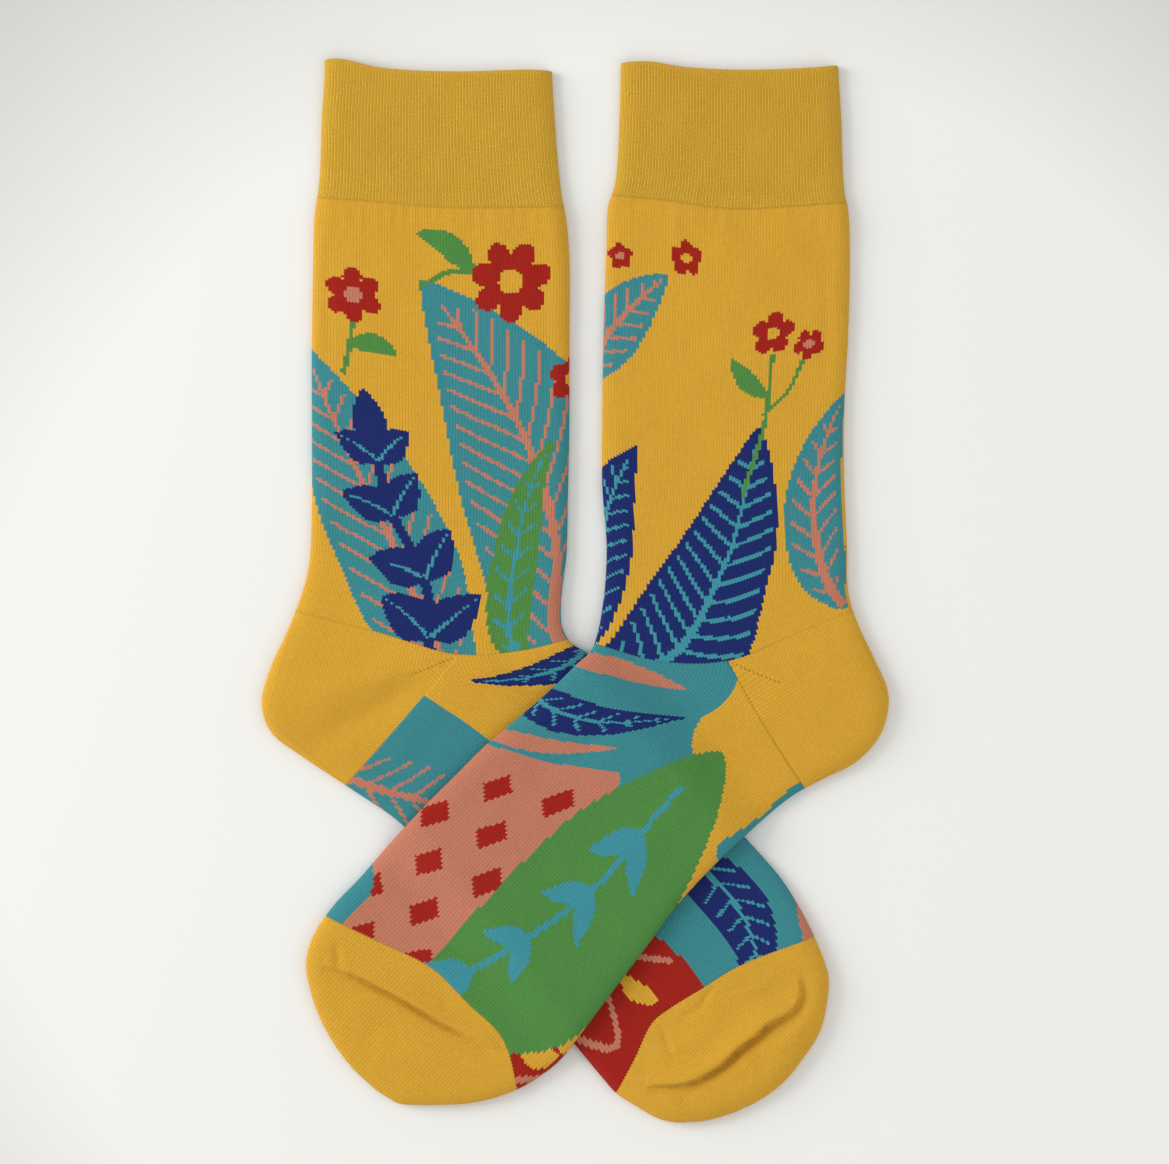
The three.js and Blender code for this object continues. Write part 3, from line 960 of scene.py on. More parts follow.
@dataclass
class Chart:
    """A knitting chart of one zone: a yarn for each stitch, wrapped round the tube.

    Across, a place is in millimetres from the first fold, 0 to 90 on the upper face and 90 to 180 on
    the lower one. Down, it is in millimetres from the first course.
    """

    courses: int
    flipped: bool = False
    ground: Yarn = Yarn.MUSTARD
    cells: Array = field(init=False)
    x: Array = field(init=False)
    y: Array = field(init=False)

    def __post_init__(self) -> None:
        """Lays out the cells' middles."""
        self.cells = np.full((self.courses, 2 * WALES), list(Yarn).index(self.ground))
        across = (np.arange(2 * WALES) + 0.5) * WALE
        if self.flipped:
            across = (FACE_WIDTH - across) % (2 * FACE_WIDTH)
        down = (np.arange(self.courses) + 0.5) * COURSE
        self.x, self.y = np.meshgrid(across, down)

    def paint(self, yarn: Yarn, shape: Callable[[Array, Array], Array]) -> None:
        """Knits a shape in a yarn, also where it passes round the fold.

        Args:
            yarn: The yarn.
            shape: A function that says which places belong to the shape.
        """
        for turn in (-2 * FACE_WIDTH, 0.0, 2 * FACE_WIDTH):
            self.cells[shape(self.x + turn, self.y)] = list(Yarn).index(yarn)

    def colours(self) -> Array:
        """Returns the linear colour of each stitch."""
        return np.array([yarn.linear() for yarn in Yarn])[self.cells]


@dataclass(frozen=True)
class Leaf:
    """A leaf along a bent line, with a midrib and slanted side veins."""

    base: Point
    bend: Point
    tip: Point
    width: float
    fill: Yarn
    vein: Yarn | None = None
    midrib: float = 1.0
    spacing: float = 7.5
    slant: float = 0.9
    stroke: float = 1.2
    margin: float = 2.6
    fullness: float = 0.85

    def knit(self, chart: Chart) -> None:
        """Paints the leaf on a chart.

        Args:
            chart: The chart.
        """
        t = np.linspace(0, 1, 48)[:, None]
        base, bend, tip = np.array(self.base), np.array(self.bend), np.array(self.tip)
        line = (1 - t) ** 2 * base + 2 * t * (1 - t) * bend + t**2 * tip
        length = np.hypot(*np.diff(line, axis=0).T).sum()

        def measure(x: Array, y: Array) -> tuple[Array, Array, Array]:
            distance, along, _ = nearest_on(line, np.stack([x, y], axis=-1))
            half = self.width * np.sin(np.pi * np.clip(along, 0, 1) ** self.fullness) ** 0.8
            return distance, along, half

        def blade(x: Array, y: Array) -> Array:
            distance, _, half = measure(x, y)
            return distance < half

        chart.paint(self.fill, blade)
        if self.vein is None:
            return

        def veins(x: Array, y: Array) -> Array:
            distance, along, half = measure(x, y)
            rib = (distance < self.midrib * (1.2 - along)) & (along > 0.02) & (along < 0.93)
            phase = (along * length - distance * self.slant) % self.spacing
            side = (phase < self.stroke) & (
                distance < half - self.margin
            ) & (along > 0.06) & (along < 0.9)
            return rib | side

        chart.paint(self.vein, veins)


@dataclass(frozen=True)
class Blossom:
    """A round flower with petals and a centre."""

    centre: Point
    radius: float
    petals: int
    fill: Yarn
    heart: Yarn
    turn: float = 0.3

    def knit(self, chart: Chart) -> None:
        """Paints the flower on a chart.

        Args:
            chart: The chart.
        """

        def petals(x: Array, y: Array) -> Array:
            dx, dy = x - self.centre[0], y - self.centre[1]
            wave = np.abs(np.cos(self.petals / 2 * (np.arctan2(dy, dx) + self.turn)))
            return np.hypot(dx, dy) < self.radius * (0.58 + 0.42 * wave**0.6)

        chart.paint(self.fill, petals)
        chart.paint(
            self.heart,
            lambda x,
            y: np.hypot(x - self.centre[0], y - self.centre[1]) < max(0.3 * self.radius, 1.0),
        )


@dataclass(frozen=True)
class Stem:
    """A curved line of one width."""

    points: tuple[Point, ...]
    width: float
    yarn: Yarn

    def knit(self, chart: Chart) -> None:
        """Paints the line on a chart."""
        line = smooth_route(self.points)
        chart.paint(
            self.yarn, lambda x, y: nearest_on(line, np.stack([x, y], axis=-1))[0] < self.width / 2
        )


@dataclass(frozen=True)
class Sprig:
    """A stem with pairs of small leaves."""

    points: tuple[Point, ...]
    leaf: float
    pairs: int
    yarn: Yarn
    vein: Yarn | None = None
    width: float = 2.2
    plump: float = 0.3
    lean: float = 0.62

    def knit(self, chart: Chart) -> None:
        """Paints the sprig on a chart.

        Args:
            chart: The chart.
        """
        Stem(self.points, self.width, self.yarn).knit(chart)
        line = smooth_route(self.points, 12)
        for k in range(self.pairs):
            at = int((k + 0.7) / self.pairs * (len(line) - 2))
            here = line[at]
            way = (line[at + 1] - line[at]) / np.hypot(*(line[at + 1] - line[at]))
            size = self.leaf * (1.0 - 0.35 * k / self.pairs)
            for side in (-1, 1):
                out = way * self.lean + side * np.array([-way[1], way[0]]) * (1.42 - self.lean)
                tip, bend = here + out * size, here + (out * 0.5 + way * 0.12) * size
                Leaf(
                    tuple(here), tuple(bend), tuple(tip), size * self.plump, self.yarn, self.vein,
                    midrib=0.6, spacing=50.0, stroke=0.0, fullness=0.75,
                ).knit(chart)
        end, before = line[-1], line[-4]
        Leaf(
            tuple(before), tuple(end),
            tuple(end + (end - before) / np.hypot(*(end - before)) * self.leaf * 0.8),
            self.leaf * self.plump * 0.8, self.yarn,
        ).knit(chart)


@dataclass(frozen=True)
class Field:
    """A plain area with a soft outline, given as its corners on the chart."""

    corners: tuple[Point, ...]
    yarn: Yarn

    def knit(self, chart: Chart) -> None:
        """Paints the area on a chart.

        Args:
            chart: The chart.
        """
        loop = smooth_route((*self.corners, self.corners[0]), 8)
        chart.paint(self.yarn, lambda x, y: points_inside(loop, np.stack([x, y], axis=-1)))


@dataclass(frozen=True)
class Lozenges:
    """A lattice of small lozenges over a part of the chart that has one yarn."""

    over: Yarn
    yarn: Yarn
    low: Point
    high: Point
    pitch: Point
    size: Point

    def knit(self, chart: Chart) -> None:
        """Paints the lozenges on a chart, only where the chart has the given yarn."""
        ground = chart.cells == list(Yarn).index(self.over)

        def hit(x: Array, y: Array) -> Array:
            row = np.floor((y - self.low[1]) / self.pitch[1])
            dx = (
                x - self.low[0] + self.pitch[0] / 2 * (row % 2)
            ) % self.pitch[0] - self.pitch[0] / 2
            dy = (y - self.low[1]) % self.pitch[1] - self.pitch[1] / 2
            within = (x > self.low[0]) & (x < self.high[0]) & (y > self.low[1]) & (y < self.high[1])
            return within & ground & (np.abs(dx) / self.size[0] + np.abs(dy) / self.size[1] < 1)

        chart.paint(self.yarn, hit)


def under_leg_chart() -> Chart:
    """The lower sock's leg, across from the left fold: broad leaves, a sprig and red flowers."""
    chart = Chart(LEG_COURSES, flipped=True)
    for part in (
        Leaf((86, 160), (94, 84), (38, 26), 28, Yarn.TEAL, Yarn.SALMON, 1.8, 9.0, 1.3, 1.8, 3.2),
        Leaf((64, 166), (26, 128), (-2, 54), 21, Yarn.TEAL, Yarn.SALMON, 1.7, 8.5, 1.1, 1.6, 2.8),
        Leaf((76, 160), (64, 110), (84, 80), 8, Yarn.GREEN, Yarn.SKY, 0.9, 8.0, 0.9, 1.1, 2.2),
        Sprig(((52, 164), (44, 134), (28, 108), (22, 84)), 22, 4, Yarn.NAVY, Yarn.SKY, 3.6, 0.34),
        Stem(((38, 28), (48, 22), (60, 22)), 1.8, Yarn.GREEN),
        Leaf((56, 22), (46, 8), (36, 10), 4.2, Yarn.GREEN),
        Blossom((69, 25), 14.0, 7, Yarn.RED, Yarn.MUSTARD, 0.2),
        Stem(((12, 62), (14, 52), (15, 42)), 1.8, Yarn.GREEN),
        Leaf((14, 52), (24, 48), (30, 54), 3.6, Yarn.GREEN),
        Blossom((15, 34), 10.0, 6, Yarn.RED, Yarn.SALMON, 0.6),
        Blossom((90, 60), 8.0, 5, Yarn.RED, Yarn.MUSTARD, 0.1),
        Leaf((150, 150), (160, 90), (126, 50), 18, Yarn.TEAL, Yarn.SALMON, 1.5, 9.0, 1.2, 1.5, 2.8),
        Blossom((132, 36), 10.0, 6, Yarn.RED, Yarn.MUSTARD),
        Sprig(((116, 150), (112, 120), (118, 96)), 14, 3, Yarn.NAVY, Yarn.SKY, 2.6),
        Blossom((160, 60), 6.0, 5, Yarn.RED, Yarn.SALMON),
    ):
        part.knit(chart)
    return chart


def over_leg_chart() -> Chart:
    """The upper sock's leg: an open ground with veined leaves, florets and a leaf from the fold."""
    chart = Chart(LEG_COURSES)
    for part in (
        Leaf((0, 168), (46, 142), (58, 76), 20, Yarn.NAVY, Yarn.SKY, 1.4, 6.5, 0.5, 1.5, 2.2),
        Leaf((-4, 160), (-8, 116), (14, 82), 12, Yarn.NAVY, Yarn.SKY, 1.2, 6.5, 1.0, 1.2, 2.0),
        Stem(((52, 98), (60, 76), (62, 52)), 1.7, Yarn.GREEN),
        Stem(((60, 72), (68, 66), (73, 56)), 1.5, Yarn.GREEN),
        Leaf((61, 66), (52, 60), (47, 50), 3.2, Yarn.GREEN),
        Blossom((62, 44), 7.6, 5, Yarn.RED, Yarn.MUSTARD, 0.2),
        Blossom((75, 50), 5.6, 5, Yarn.RED, Yarn.SALMON, 0.8),
        Leaf((-8, 66), (2, 42), (24, 24), 10.5, Yarn.TEAL, Yarn.SALMON, 1.4, 6.5, 1.0, 1.5, 2.2),
        Blossom((30, 18), 6.0, 5, Yarn.RED, Yarn.MUSTARD, 0.4),
        Blossom((6, 20), 4.6, 5, Yarn.RED, Yarn.SALMON, 0.5),
        Leaf((87, 150), (66, 112), (90, 70), 11, Yarn.TEAL, Yarn.SALMON, 1.5, 7.5, 1.0, 1.4, 2.4),
        Leaf(
            (130, 150), (110, 100), (136, 60), 16, Yarn.TEAL, Yarn.SALMON, 1.4, 8.0, 1.1, 1.4, 2.6
        ),
        Blossom((138, 48), 8.0, 6, Yarn.RED, Yarn.MUSTARD),
        Sprig(((160, 150), (156, 120), (162, 90)), 13, 3, Yarn.NAVY, Yarn.SKY, 2.4),
    ):
        part.knit(chart)
    return chart


def over_foot_chart() -> Chart:
    """The upper sock's foot, across from the instep: teal, a rose field, a green leaf, a red sole."""
    chart = Chart(FOOT_COURSES)
    for part in (
        Field(
            ((-8, -8), (30, -8), (43, -6), (45, 20), (62, 31), (66, 48), (40, 57), (-12, 55)),
            Yarn.TEAL
        ),
        Leaf((-12, 22), (12, 40), (41, 24), 8.0, Yarn.NAVY, Yarn.SKY, 1.0, 7.0, 0.8, 1.2, 1.8),
        Leaf((-8, 10), (10, 3), (32, 10), 4.0, Yarn.SALMON),
        Leaf((-10, 48), (10, 50), (34, 41), 3.6, Yarn.SALMON),
        Field(((-14, 55), (18, 53), (48, 56), (44, 150), (6, 158), (-16, 150)), Yarn.SALMON),
        Lozenges(Yarn.SALMON, Yarn.RED, (-14, 60), (44, 150), (19, 18), (4.8, 6.8)),
        Field(((-14, 112), (2, 116), (8, 132), (2, 150), (-16, 152)), Yarn.TEAL),
        Field(
            ((76, 84), (82, 60), (104, 56), (124, 60), (124, 160), (50, 168), (44, 148), (60, 122)),
            Yarn.RED
        ),
        Stem(((50, 150), (66, 134), (80, 146), (96, 124), (112, 134)), 2.2, Yarn.SALMON),
        Leaf((76, 136), (84, 132), (88, 122), 3.4, Yarn.MUSTARD),
        Leaf((86, 122), (92, 110), (88, 100), 3.4, Yarn.MUSTARD),
        Leaf((60, 17), (80, 98), (38, 180), 27, Yarn.GREEN),
        Sprig(((60, 36), (63, 76), (55, 112), (44, 142)), 20, 4, Yarn.SKY, None, 2.0, 0.2, 0.85),
        Stem(((88, -4), (91, 16), (88, 34)), 7.0, Yarn.TEAL),
        Field(((120, 24), (150, 31), (170, 48), (166, 144), (130, 149), (122, 84)), Yarn.TEAL),
        Leaf((150, 24), (140, 84), (152, 144), 12, Yarn.NAVY, Yarn.SKY, 1.1, 7.0, 0.9, 1.2, 2.2),
    ):
        part.knit(chart)
    return chart


def under_foot_chart() -> Chart:
    """The lower sock's foot, across from the instep: teal ends, veined leaves and a red sole."""
    chart = Chart(FOOT_COURSES)
    for part in (
        Field(((46, -14), (100, -14), (112, 16), (98, 52), (66, 62), (48, 36)), Yarn.TEAL),
        Leaf((88, -12), (84, 22), (60, 50), 15, Yarn.TEAL, Yarn.SALMON, 1.6, 8.0, 1.0, 1.5, 2.0),
        Leaf((-6, 2), (12, 18), (33, 10), 6.0, Yarn.NAVY, Yarn.SKY, 1.0, 7.0, 0.9, 1.1, 1.8),
        Leaf((-6, 14), (12, 34), (36, 46), 9.0, Yarn.GREEN, Yarn.SKY, 1.0, 7.5, 0.9, 1.2, 2.0),
        Field(((-20, 78), (20, 82), (48, 94), (46, 158), (-20, 162)), Yarn.TEAL),
        Leaf((26, 80), (8, 116), (30, 158), 9.5, Yarn.NAVY, Yarn.SKY, 1.0, 7.5, 0.8, 1.2, 1.8),
        Leaf((-14, 110), (-2, 127), (6, 150), 4.6, Yarn.SALMON),
        Field(
            ((60, 74), (100, 68), (126, 82), (122, 156), (60, 166), (45, 156), (46, 110)), Yarn.RED
        ),
        Stem(((47, 126), (64, 112), (78, 132), (94, 108), (106, 124)), 2.2, Yarn.SALMON),
        Leaf((58, 136), (64, 128), (62, 119), 3.2, Yarn.MUSTARD),
        Leaf((82, 118), (90, 110), (92, 100), 3.2, Yarn.MUSTARD),
        Field(((126, 36), (150, 29), (166, 53), (160, 144), (134, 149)), Yarn.GREEN),
        Lozenges(Yarn.GREEN, Yarn.SKY, (126, 36), (170, 144), (14, 14), (3.4, 5.0)),
    ):
        part.knit(chart)
    return chart


# One sock lying flat


@dataclass
class Columns:
    """How the stitches of a ring are counted: wales on the upper face, then on the lower face."""

    upper: int
    lower: int

    @property
    def count(self) -> int:
        """Returns the number of columns round the ring."""
        return self.upper + self.lower

    def wales(self, total: float = WALES) -> Array:
        """Returns the place of each column edge in wales, one more than the columns."""
        top = np.arange(self.upper) * total / self.upper
        low = total + np.arange(self.lower + 1) * total / self.lower
        return np.concatenate([top, low])


@dataclass
class FlatSock:
    """The outer shape of a sock that lies flat, read at a place along it and a column round it."""

    name: str
    sections: Sequence[Sequence[float]]
    borders: dict[str, Sequence[Point]]
    creases: Sequence[Crease | Fold]
    lift: Callable[[Array], Array] | None = None
    fold_level: float = 0.42
    shoulder_reach: float = 7.0
    shoulder_power: float = 2.2
    corner_reach: float = 2.6
    wall: float = 1.2
    least_hollow: float = 0.25
    ripple: float = 1.0
    underside: float = 0.03
    table_steps: int = 8
    fine_steps: int = 24
    outline_steps: int = 6

    def __post_init__(self) -> None:
        """Prepares the edge curves, the outline and the column tables."""
        rows = np.array(self.sections, dtype=float)
        self.front = rows[:, [0, 1, 4]]
        self.back = rows[:, [2, 3, 4]]
        self.last = len(rows) - 1
        self.steps = np.linspace(0, self.last, self.fine_steps * self.last + 1)
        fine = np.linspace(0, self.last, self.outline_steps * self.last + 1)
        front, back = centripetal(self.front, fine)[:, :2], centripetal(self.back, fine)[:, :2]
        self.outline = np.vstack([front, back[::-1]])
        self.tables: dict[tuple[int, int], Array] = {}
        self.grids: dict[tuple[int, int], Array] = {}

    def shoulder(self, distance: Array, reach: float) -> Array:
        """Height share at a distance from the fold: 0 at the fold and 1 on the level.

        Args:
            distance: Distance from the fold.
            reach: How far the rounding goes.

        Returns:
            The share.
        """
        missing = np.clip(1 - distance / reach, 0, 1)
        return (1 - missing**self.shoulder_power) ** (1 / self.shoulder_power)

    def column_shares(self, columns: Columns) -> Array:
        """Chord share of each column for a fine row of places, at even arc lengths.

        Args:
            columns: How the ring is counted.

        Returns:
            A table with table_steps rows a section, from 0 at the front edge to 1 at the back.
        """
        key = (columns.upper, columns.lower)
        if key in self.tables:
            return self.tables[key]
        fine = np.linspace(0, self.last, self.table_steps * self.last + 1)
        front, back = centripetal(self.front, fine), centripetal(self.back, fine)
        half = np.hypot(*(front - back)[:, :2].T) / 2
        table = np.empty((len(fine), columns.count + 1))
        ease = 1 - np.cos(np.linspace(0, np.pi / 2, 160))
        for r, (reach, height) in enumerate(zip(half, front[:, 2])):
            distance = reach * ease
            over = height * (1 - self.fold_level) * self.shoulder(distance, self.shoulder_reach)
            below = height * self.fold_level * (1 - self.shoulder(distance, self.corner_reach))
            start = 0
            for level, count in ((over, columns.upper), (below, columns.lower)):
                arc = np.concatenate([[0], np.cumsum(np.hypot(np.diff(distance), np.diff(level)))])
                even = np.linspace(0, 2, count + 1)
                near = np.interp(np.minimum(even, 2 - even) * arc[-1], arc, distance) / (2 * reach)
                share = np.where(even <= 1, near, 1 - near)
                if start:
                    share = 1 - share
                table[r, start : start + count + 1] = share
                start += count
        self.tables[key] = table
        return table

    def plan(self, places: Array, columns: Columns) -> Array:
        """Places in plan of a grid.

        Args:
            places: For each ring and column edge, the place along the sock.
            columns: How the ring is counted.

        Returns:
            x and y of each grid point.
        """
        table = self.column_shares(columns)
        at = np.clip(places, 0, self.last) * self.table_steps
        low = np.clip(np.floor(at).astype(int), 0, len(table) - 2)
        weight = at - low
        column = np.arange(places.shape[1])[None, :]
        share = (table[low, column] * (1 - weight) + table[low + 1, column] * weight)[..., None]
        front, back = centripetal(self.front, places), centripetal(self.back, places)
        return front[..., :2] * (1 - share) + back[..., :2] * share

    def heights(self, places: Array, xy: Array) -> tuple[Array, Array]:
        """Levels of the upper and the lower face at places in plan.

        Args:
            places: The places along the sock.
            xy: The places in plan.

        Returns:
            The upper and the lower level.
        """
        height = centripetal(self.front, places)[..., 2]
        distance = nearest_on(self.outline, xy)[0]
        rise = self.shoulder(distance, self.shoulder_reach)
        upper = height * (self.fold_level + (1 - self.fold_level) * rise)
        soft = sum(crease.rise_at(xy) for crease in self.creases)
        soft = soft + self.ripple * sum(wave.rise_at(xy) for wave in RIPPLES)
        upper = upper + soft * rise
        rounding = 1 - self.shoulder(distance, self.corner_reach)
        lower = height * self.fold_level * rounding + self.underside
        upper = np.maximum(upper, lower)
        if self.lift is not None:
            raised = self.lift(xy)
            upper, lower = upper + raised, lower + raised
        return upper, lower

    def outer(self, places: Array, columns: Columns) -> Array:
        """Points of the outer face of a grid.

        Args:
            places: For each ring and column edge, the place along the sock.
            columns: How the ring is counted.

        Returns:
            x, y and z of each grid point, in millimetres.
        """
        xy = self.plan(places, columns)
        upper, lower = self.heights(places, xy)
        on_top = np.arange(places.shape[1]) <= columns.upper
        on_top[-1] = True
        return np.dstack([xy, np.where(on_top[None, :], upper, lower)])

    def inner(self, places: Array, columns: Columns) -> Array:
        """Points of the inner face of a grid, a wall's thickness inside the outer face.

        Args:
            places: For each ring and column edge, the place along the sock.
            columns: How the ring is counted.

        Returns:
            x, y and z of each grid point, in millimetres.
        """
        front, back = centripetal(
            self.front, places
        )[..., :2], centripetal(self.back, places)[..., :2]
        width = np.maximum(np.linalg.norm(back - front, axis=-1, keepdims=True), 1e-6)
        xy = self.plan(places, columns)
        middle = (front + back) / 2
        xy = middle + (xy - middle) * np.maximum(1 - 2 * self.wall / width, 0.1)
        upper, lower = self.heights(places, xy)
        floor = lower + self.wall
        roof = np.maximum(upper - self.wall, floor + self.least_hollow)
        on_top = np.arange(places.shape[1]) <= columns.upper
        on_top[-1] = True
        return np.dstack([xy, np.where(on_top[None, :], roof, floor)])

    def fine_plan(self, columns: Columns) -> Array:
        """Returns x and y of each column at the fine steps along the sock."""
        key = (columns.upper, columns.lower)
        if key not in self.grids:
            self.grids[key] = self.plan(
                np.repeat(self.steps[:, None], columns.count + 1, axis=1), columns
            )
        return self.grids[key]

    def spread(self, start: Array, end: Array, shares: Array, columns: Columns) -> Array:
        """Places at even lengths along each column.

        Args:
            start: Where each column starts.
            end: Where each column ends.
            shares: For each place and column, the share of the way.
            columns: How the ring is counted.

        Returns:
            The places along the sock.
        """
        xy = self.fine_plan(columns)
        step = np.hypot(*np.diff(xy, axis=0).transpose(2, 0, 1))
        run = np.vstack([np.zeros(columns.count + 1), step.cumsum(axis=0)])
        shares = np.broadcast_to(shares, (len(shares), columns.count + 1))
        places = np.empty(shares.shape)
        for k in range(columns.count + 1):
            first, final = np.interp((start[k], end[k]), self.steps, run[:, k])
            places[:, k] = np.interp(first + (final - first) * shares[:, k], run[:, k], self.steps)
        return places

    def crossing(self, border: str, columns: Columns) -> Array:
        """Where each column meets a border.

        Args:
            border: The border's name.
            columns: How the ring is counted.

        Returns:
            The place along the sock for each column edge.
        """
        line = smooth_route(self.borders[border], 6)
        line = line[np.argsort(line[:, 0])]
        xy, steps = self.fine_plan(columns), self.steps
        first, final = line[0], line[-1]
        slope_low = (line[1, 1] - first[1]) / (line[1, 0] - first[0])
        slope_high = (final[1] - line[-2, 1]) / (final[0] - line[-2, 0])
        level = np.interp(xy[..., 0], line[:, 0], line[:, 1])
        level = np.where(
            xy[..., 0] < first[0], first[1] + slope_low * (xy[..., 0] - first[0]), level
        )
        level = np.where(
            xy[..., 0] > final[0], final[1] + slope_high * (xy[..., 0] - final[0]), level
        )
        above = xy[..., 1] - level
        met = (above[1:] < 0) & (above[:-1] >= 0)
        if border != "toe_course":
            first_met = met.argmax(axis=0)
        else:
            first_met = len(met) - 1 - met[::-1].argmax(axis=0)
        column = np.arange(columns.count + 1)
        before, after = above[first_met, column], above[first_met + 1, column]
        share = before / np.maximum(before - after, 1e-9)
        place = steps[first_met] + share * (steps[1] - steps[0])
        return np.where(met.any(axis=0), place, 0.0)


# Meshes


@dataclass
class Shell:
    """A closed knitted piece: a fine outer face, a coarser inner face and the rims between them."""

    name: str
    outer: Array
    inner: Array
    stitches: Array
    inner_stitches: Array
    colours: Array
    lining: tuple[float, float, float, float]
    row_step: int
    column_step: int
    wraps: bool = True
    tipped: bool = False
    ledge: float = 0.3

    def build(self, shift: Array, material: bpy.types.Material, inward: bool) -> bpy.types.Object:
        """Makes the mesh object.

        Args:
            shift: What is added to each point, in millimetres.
            material: The knit's material.
            inward: Whether the grid's own winding points inwards.

        Returns:
            The object.
        """
        rows, columns = self.outer.shape[0] - 1, self.outer.shape[1] - 1
        wide = columns if self.wraps else columns + 1
        low_rows, low_columns = rows // self.row_step, columns // self.column_step
        low_wide = low_columns if self.wraps else low_columns + 1
        points = [self.outer[:, :wide].reshape(-1, 3), self.inner[:, :low_wide].reshape(-1, 3)]
        base = (rows + 1) * wide
        r, c = np.meshgrid(np.arange(rows), np.arange(columns), indexing="ij")
        step = (c + 1) % wide
        quads = np.stack(
            [r * wide + c, r * wide + step, (r + 1) * wide + step, (r + 1) * wide + c], axis=-1
        )
        faces = quads.reshape(-1, 4).tolist()
        loops = [self.stitches.reshape(-1, 2)]
        tints = [np.repeat(self.colours.reshape(-1, 4), 4, axis=0)]
        r, c = np.meshgrid(np.arange(low_rows), np.arange(low_columns), indexing="ij")
        step = (c + 1) % low_wide
        quads = base + np.stack(
            [
                r * low_wide + c, (r + 1) * low_wide + c, (r + 1) * low_wide + step,
                r * low_wide + step
            ], axis=-1
        )
        faces += quads.reshape(-1, 4).tolist()
        loops.append(self.inner_stitches[:, :, [0, 3, 2, 1]].reshape(-1, 2))
        tints.append(np.tile(self.lining, (4 * low_rows * low_columns, 1)))
        rims = ((0, 0, True),) if self.tipped else ((0, 0, True), (rows, low_rows, False))
        for row, low_row, turned in rims:
            edge = row * wide
            if self.column_step > 1:
                edge = sum(len(part) for part in points)
                points.append(self._ledge(row, low_row, wide))
            for k in range(columns):
                if self.column_step > 1:
                    step = (k + 1) % wide
                    rim = [row * wide + k, row * wide + step, edge + step, edge + k]
                    self._add_rim(rim, row, k, turned, faces, loops, tints)
            for k in range(low_columns):
                fine = [
                    edge + (k * self.column_step + j) % wide for j in range(self.column_step + 1)
                ]
                coarse = [base + low_row * low_wide + (k + j) % low_wide for j in (1, 0)]
                self._add_rim(fine + coarse, row, k * self.column_step, turned, faces, loops, tints)
        if inward:
            sizes = np.array([len(face) for face in faces])
            faces = [face[::-1] for face in faces]
            ends = np.cumsum(sizes)
            order = np.concatenate(
                [np.arange(end - 1, end - size - 1, -1) for end, size in zip(ends, sizes)]
            )
            uv, tint = np.vstack(loops)[order], np.vstack(tints)[order]
        else:
            uv, tint = np.vstack(loops), np.vstack(tints)
        return make_object(
            self.name, (np.vstack(points) + shift) * MM, faces, uv, tint, material,
            flat_from=rows * columns + low_rows * low_columns,
        )

    def _ledge(self, row: int, low_row: int, wide: int) -> Array:
        """Points a little inside a border, so that the rim starts square to the outer face.

        Args:
            row: The border's row of the outer face.
            low_row: Its row of the inner face.
            wide: How many points the border has.

        Returns:
            The points.
        """
        across = np.arange(wide) / self.column_step
        low = np.floor(across).astype(int)
        weight = (across - low)[:, None]
        inner = self.inner[low_row]
        under = inner[low] * (1 - weight) + inner[np.minimum(low + 1, len(inner) - 1)] * weight
        return (1 - self.ledge) * self.outer[row, :wide] + self.ledge * under

    def _add_rim(
        self, rim: list[
            int
        ], row: int, column: int, turned: bool, faces: list, loops: list, tints: list
    ) -> None:
        """Adds one face of a rim with the stitch and the yarn of its column.

        Args:
            rim: The face's points.
            row: The border's row.
            column: The column it starts at.
            turned: Whether the face is turned round.
            faces: The faces so far.
            loops: The stitch coordinates so far.
            tints: The yarn colours so far.
        """
        row = min(row, self.outer.shape[0] - 2)
        faces.append(rim[::-1] if turned else rim)
        loops.append(np.tile(self.stitches[row, column, 0], (len(rim), 1)))
        tints.append(np.tile(self.colours[row, column], (len(rim), 1)))


def corners(grid: Array) -> Array:
    """Returns the grid's values at the four corners of each cell, in the order of its face."""
    return np.stack([grid[:-1, :-1], grid[:-1, 1:], grid[1:, 1:], grid[1:, :-1]], axis=2)


def make_object(
    name: str,
    points: Array,
    faces: list[list[int]],
    uv: Array,
    tint: Array,
    material: bpy.types.Material,
    flat_from: int | None = None,
    merge: float = 2e-6,
) -> bpy.types.Object:
    """Makes a mesh object with a stitch map and a yarn colour for each corner.

    Args:
        name: The piece's name.
        points: Its points in metres.
        faces: Its faces.
        uv: Stitch coordinates of each corner.
        tint: Yarn colour of each corner.
        material: Its material.
        flat_from: The first face that is shaded flat, as the rims are.
        merge: Points nearer than this become one.

    Returns:
        The object.
    """
    mesh = bpy.data.meshes.new(name)
    mesh.from_pydata(points.tolist(), [], faces)
    mesh.uv_layers.new(name="Stitches").data.foreach_set("uv", uv.astype(np.float32).ravel())
    layer = mesh.color_attributes.new(name="yarn", type="FLOAT_COLOR", domain="CORNER")
    layer.data.foreach_set("color", tint.astype(np.float32).ravel())
    smooth = np.ones(len(faces), dtype=bool)
    if flat_from is not None:
        smooth[flat_from:] = False
    mesh.polygons.foreach_set("use_smooth", smooth)
    mesh.materials.append(material)
    merge_doubles(mesh, merge)
    piece = bpy.data.objects.new(name, mesh)
    bpy.context.scene.collection.objects.link(piece)
    return piece


def merge_doubles(mesh: bpy.types.Mesh, distance: float) -> None:
    """Merges the points of a mesh that lie on each other, as at a closed tip.

    Args:
        mesh: The mesh.
        distance: How near they are.
    """
    work = bmesh.new()
    work.from_mesh(mesh)
    bmesh.ops.remove_doubles(work, verts=work.verts, dist=distance)
    bmesh.ops.dissolve_degenerate(work, edges=work.edges, dist=distance / 4)
    work.to_mesh(mesh)
    work.free()
    mesh.update()


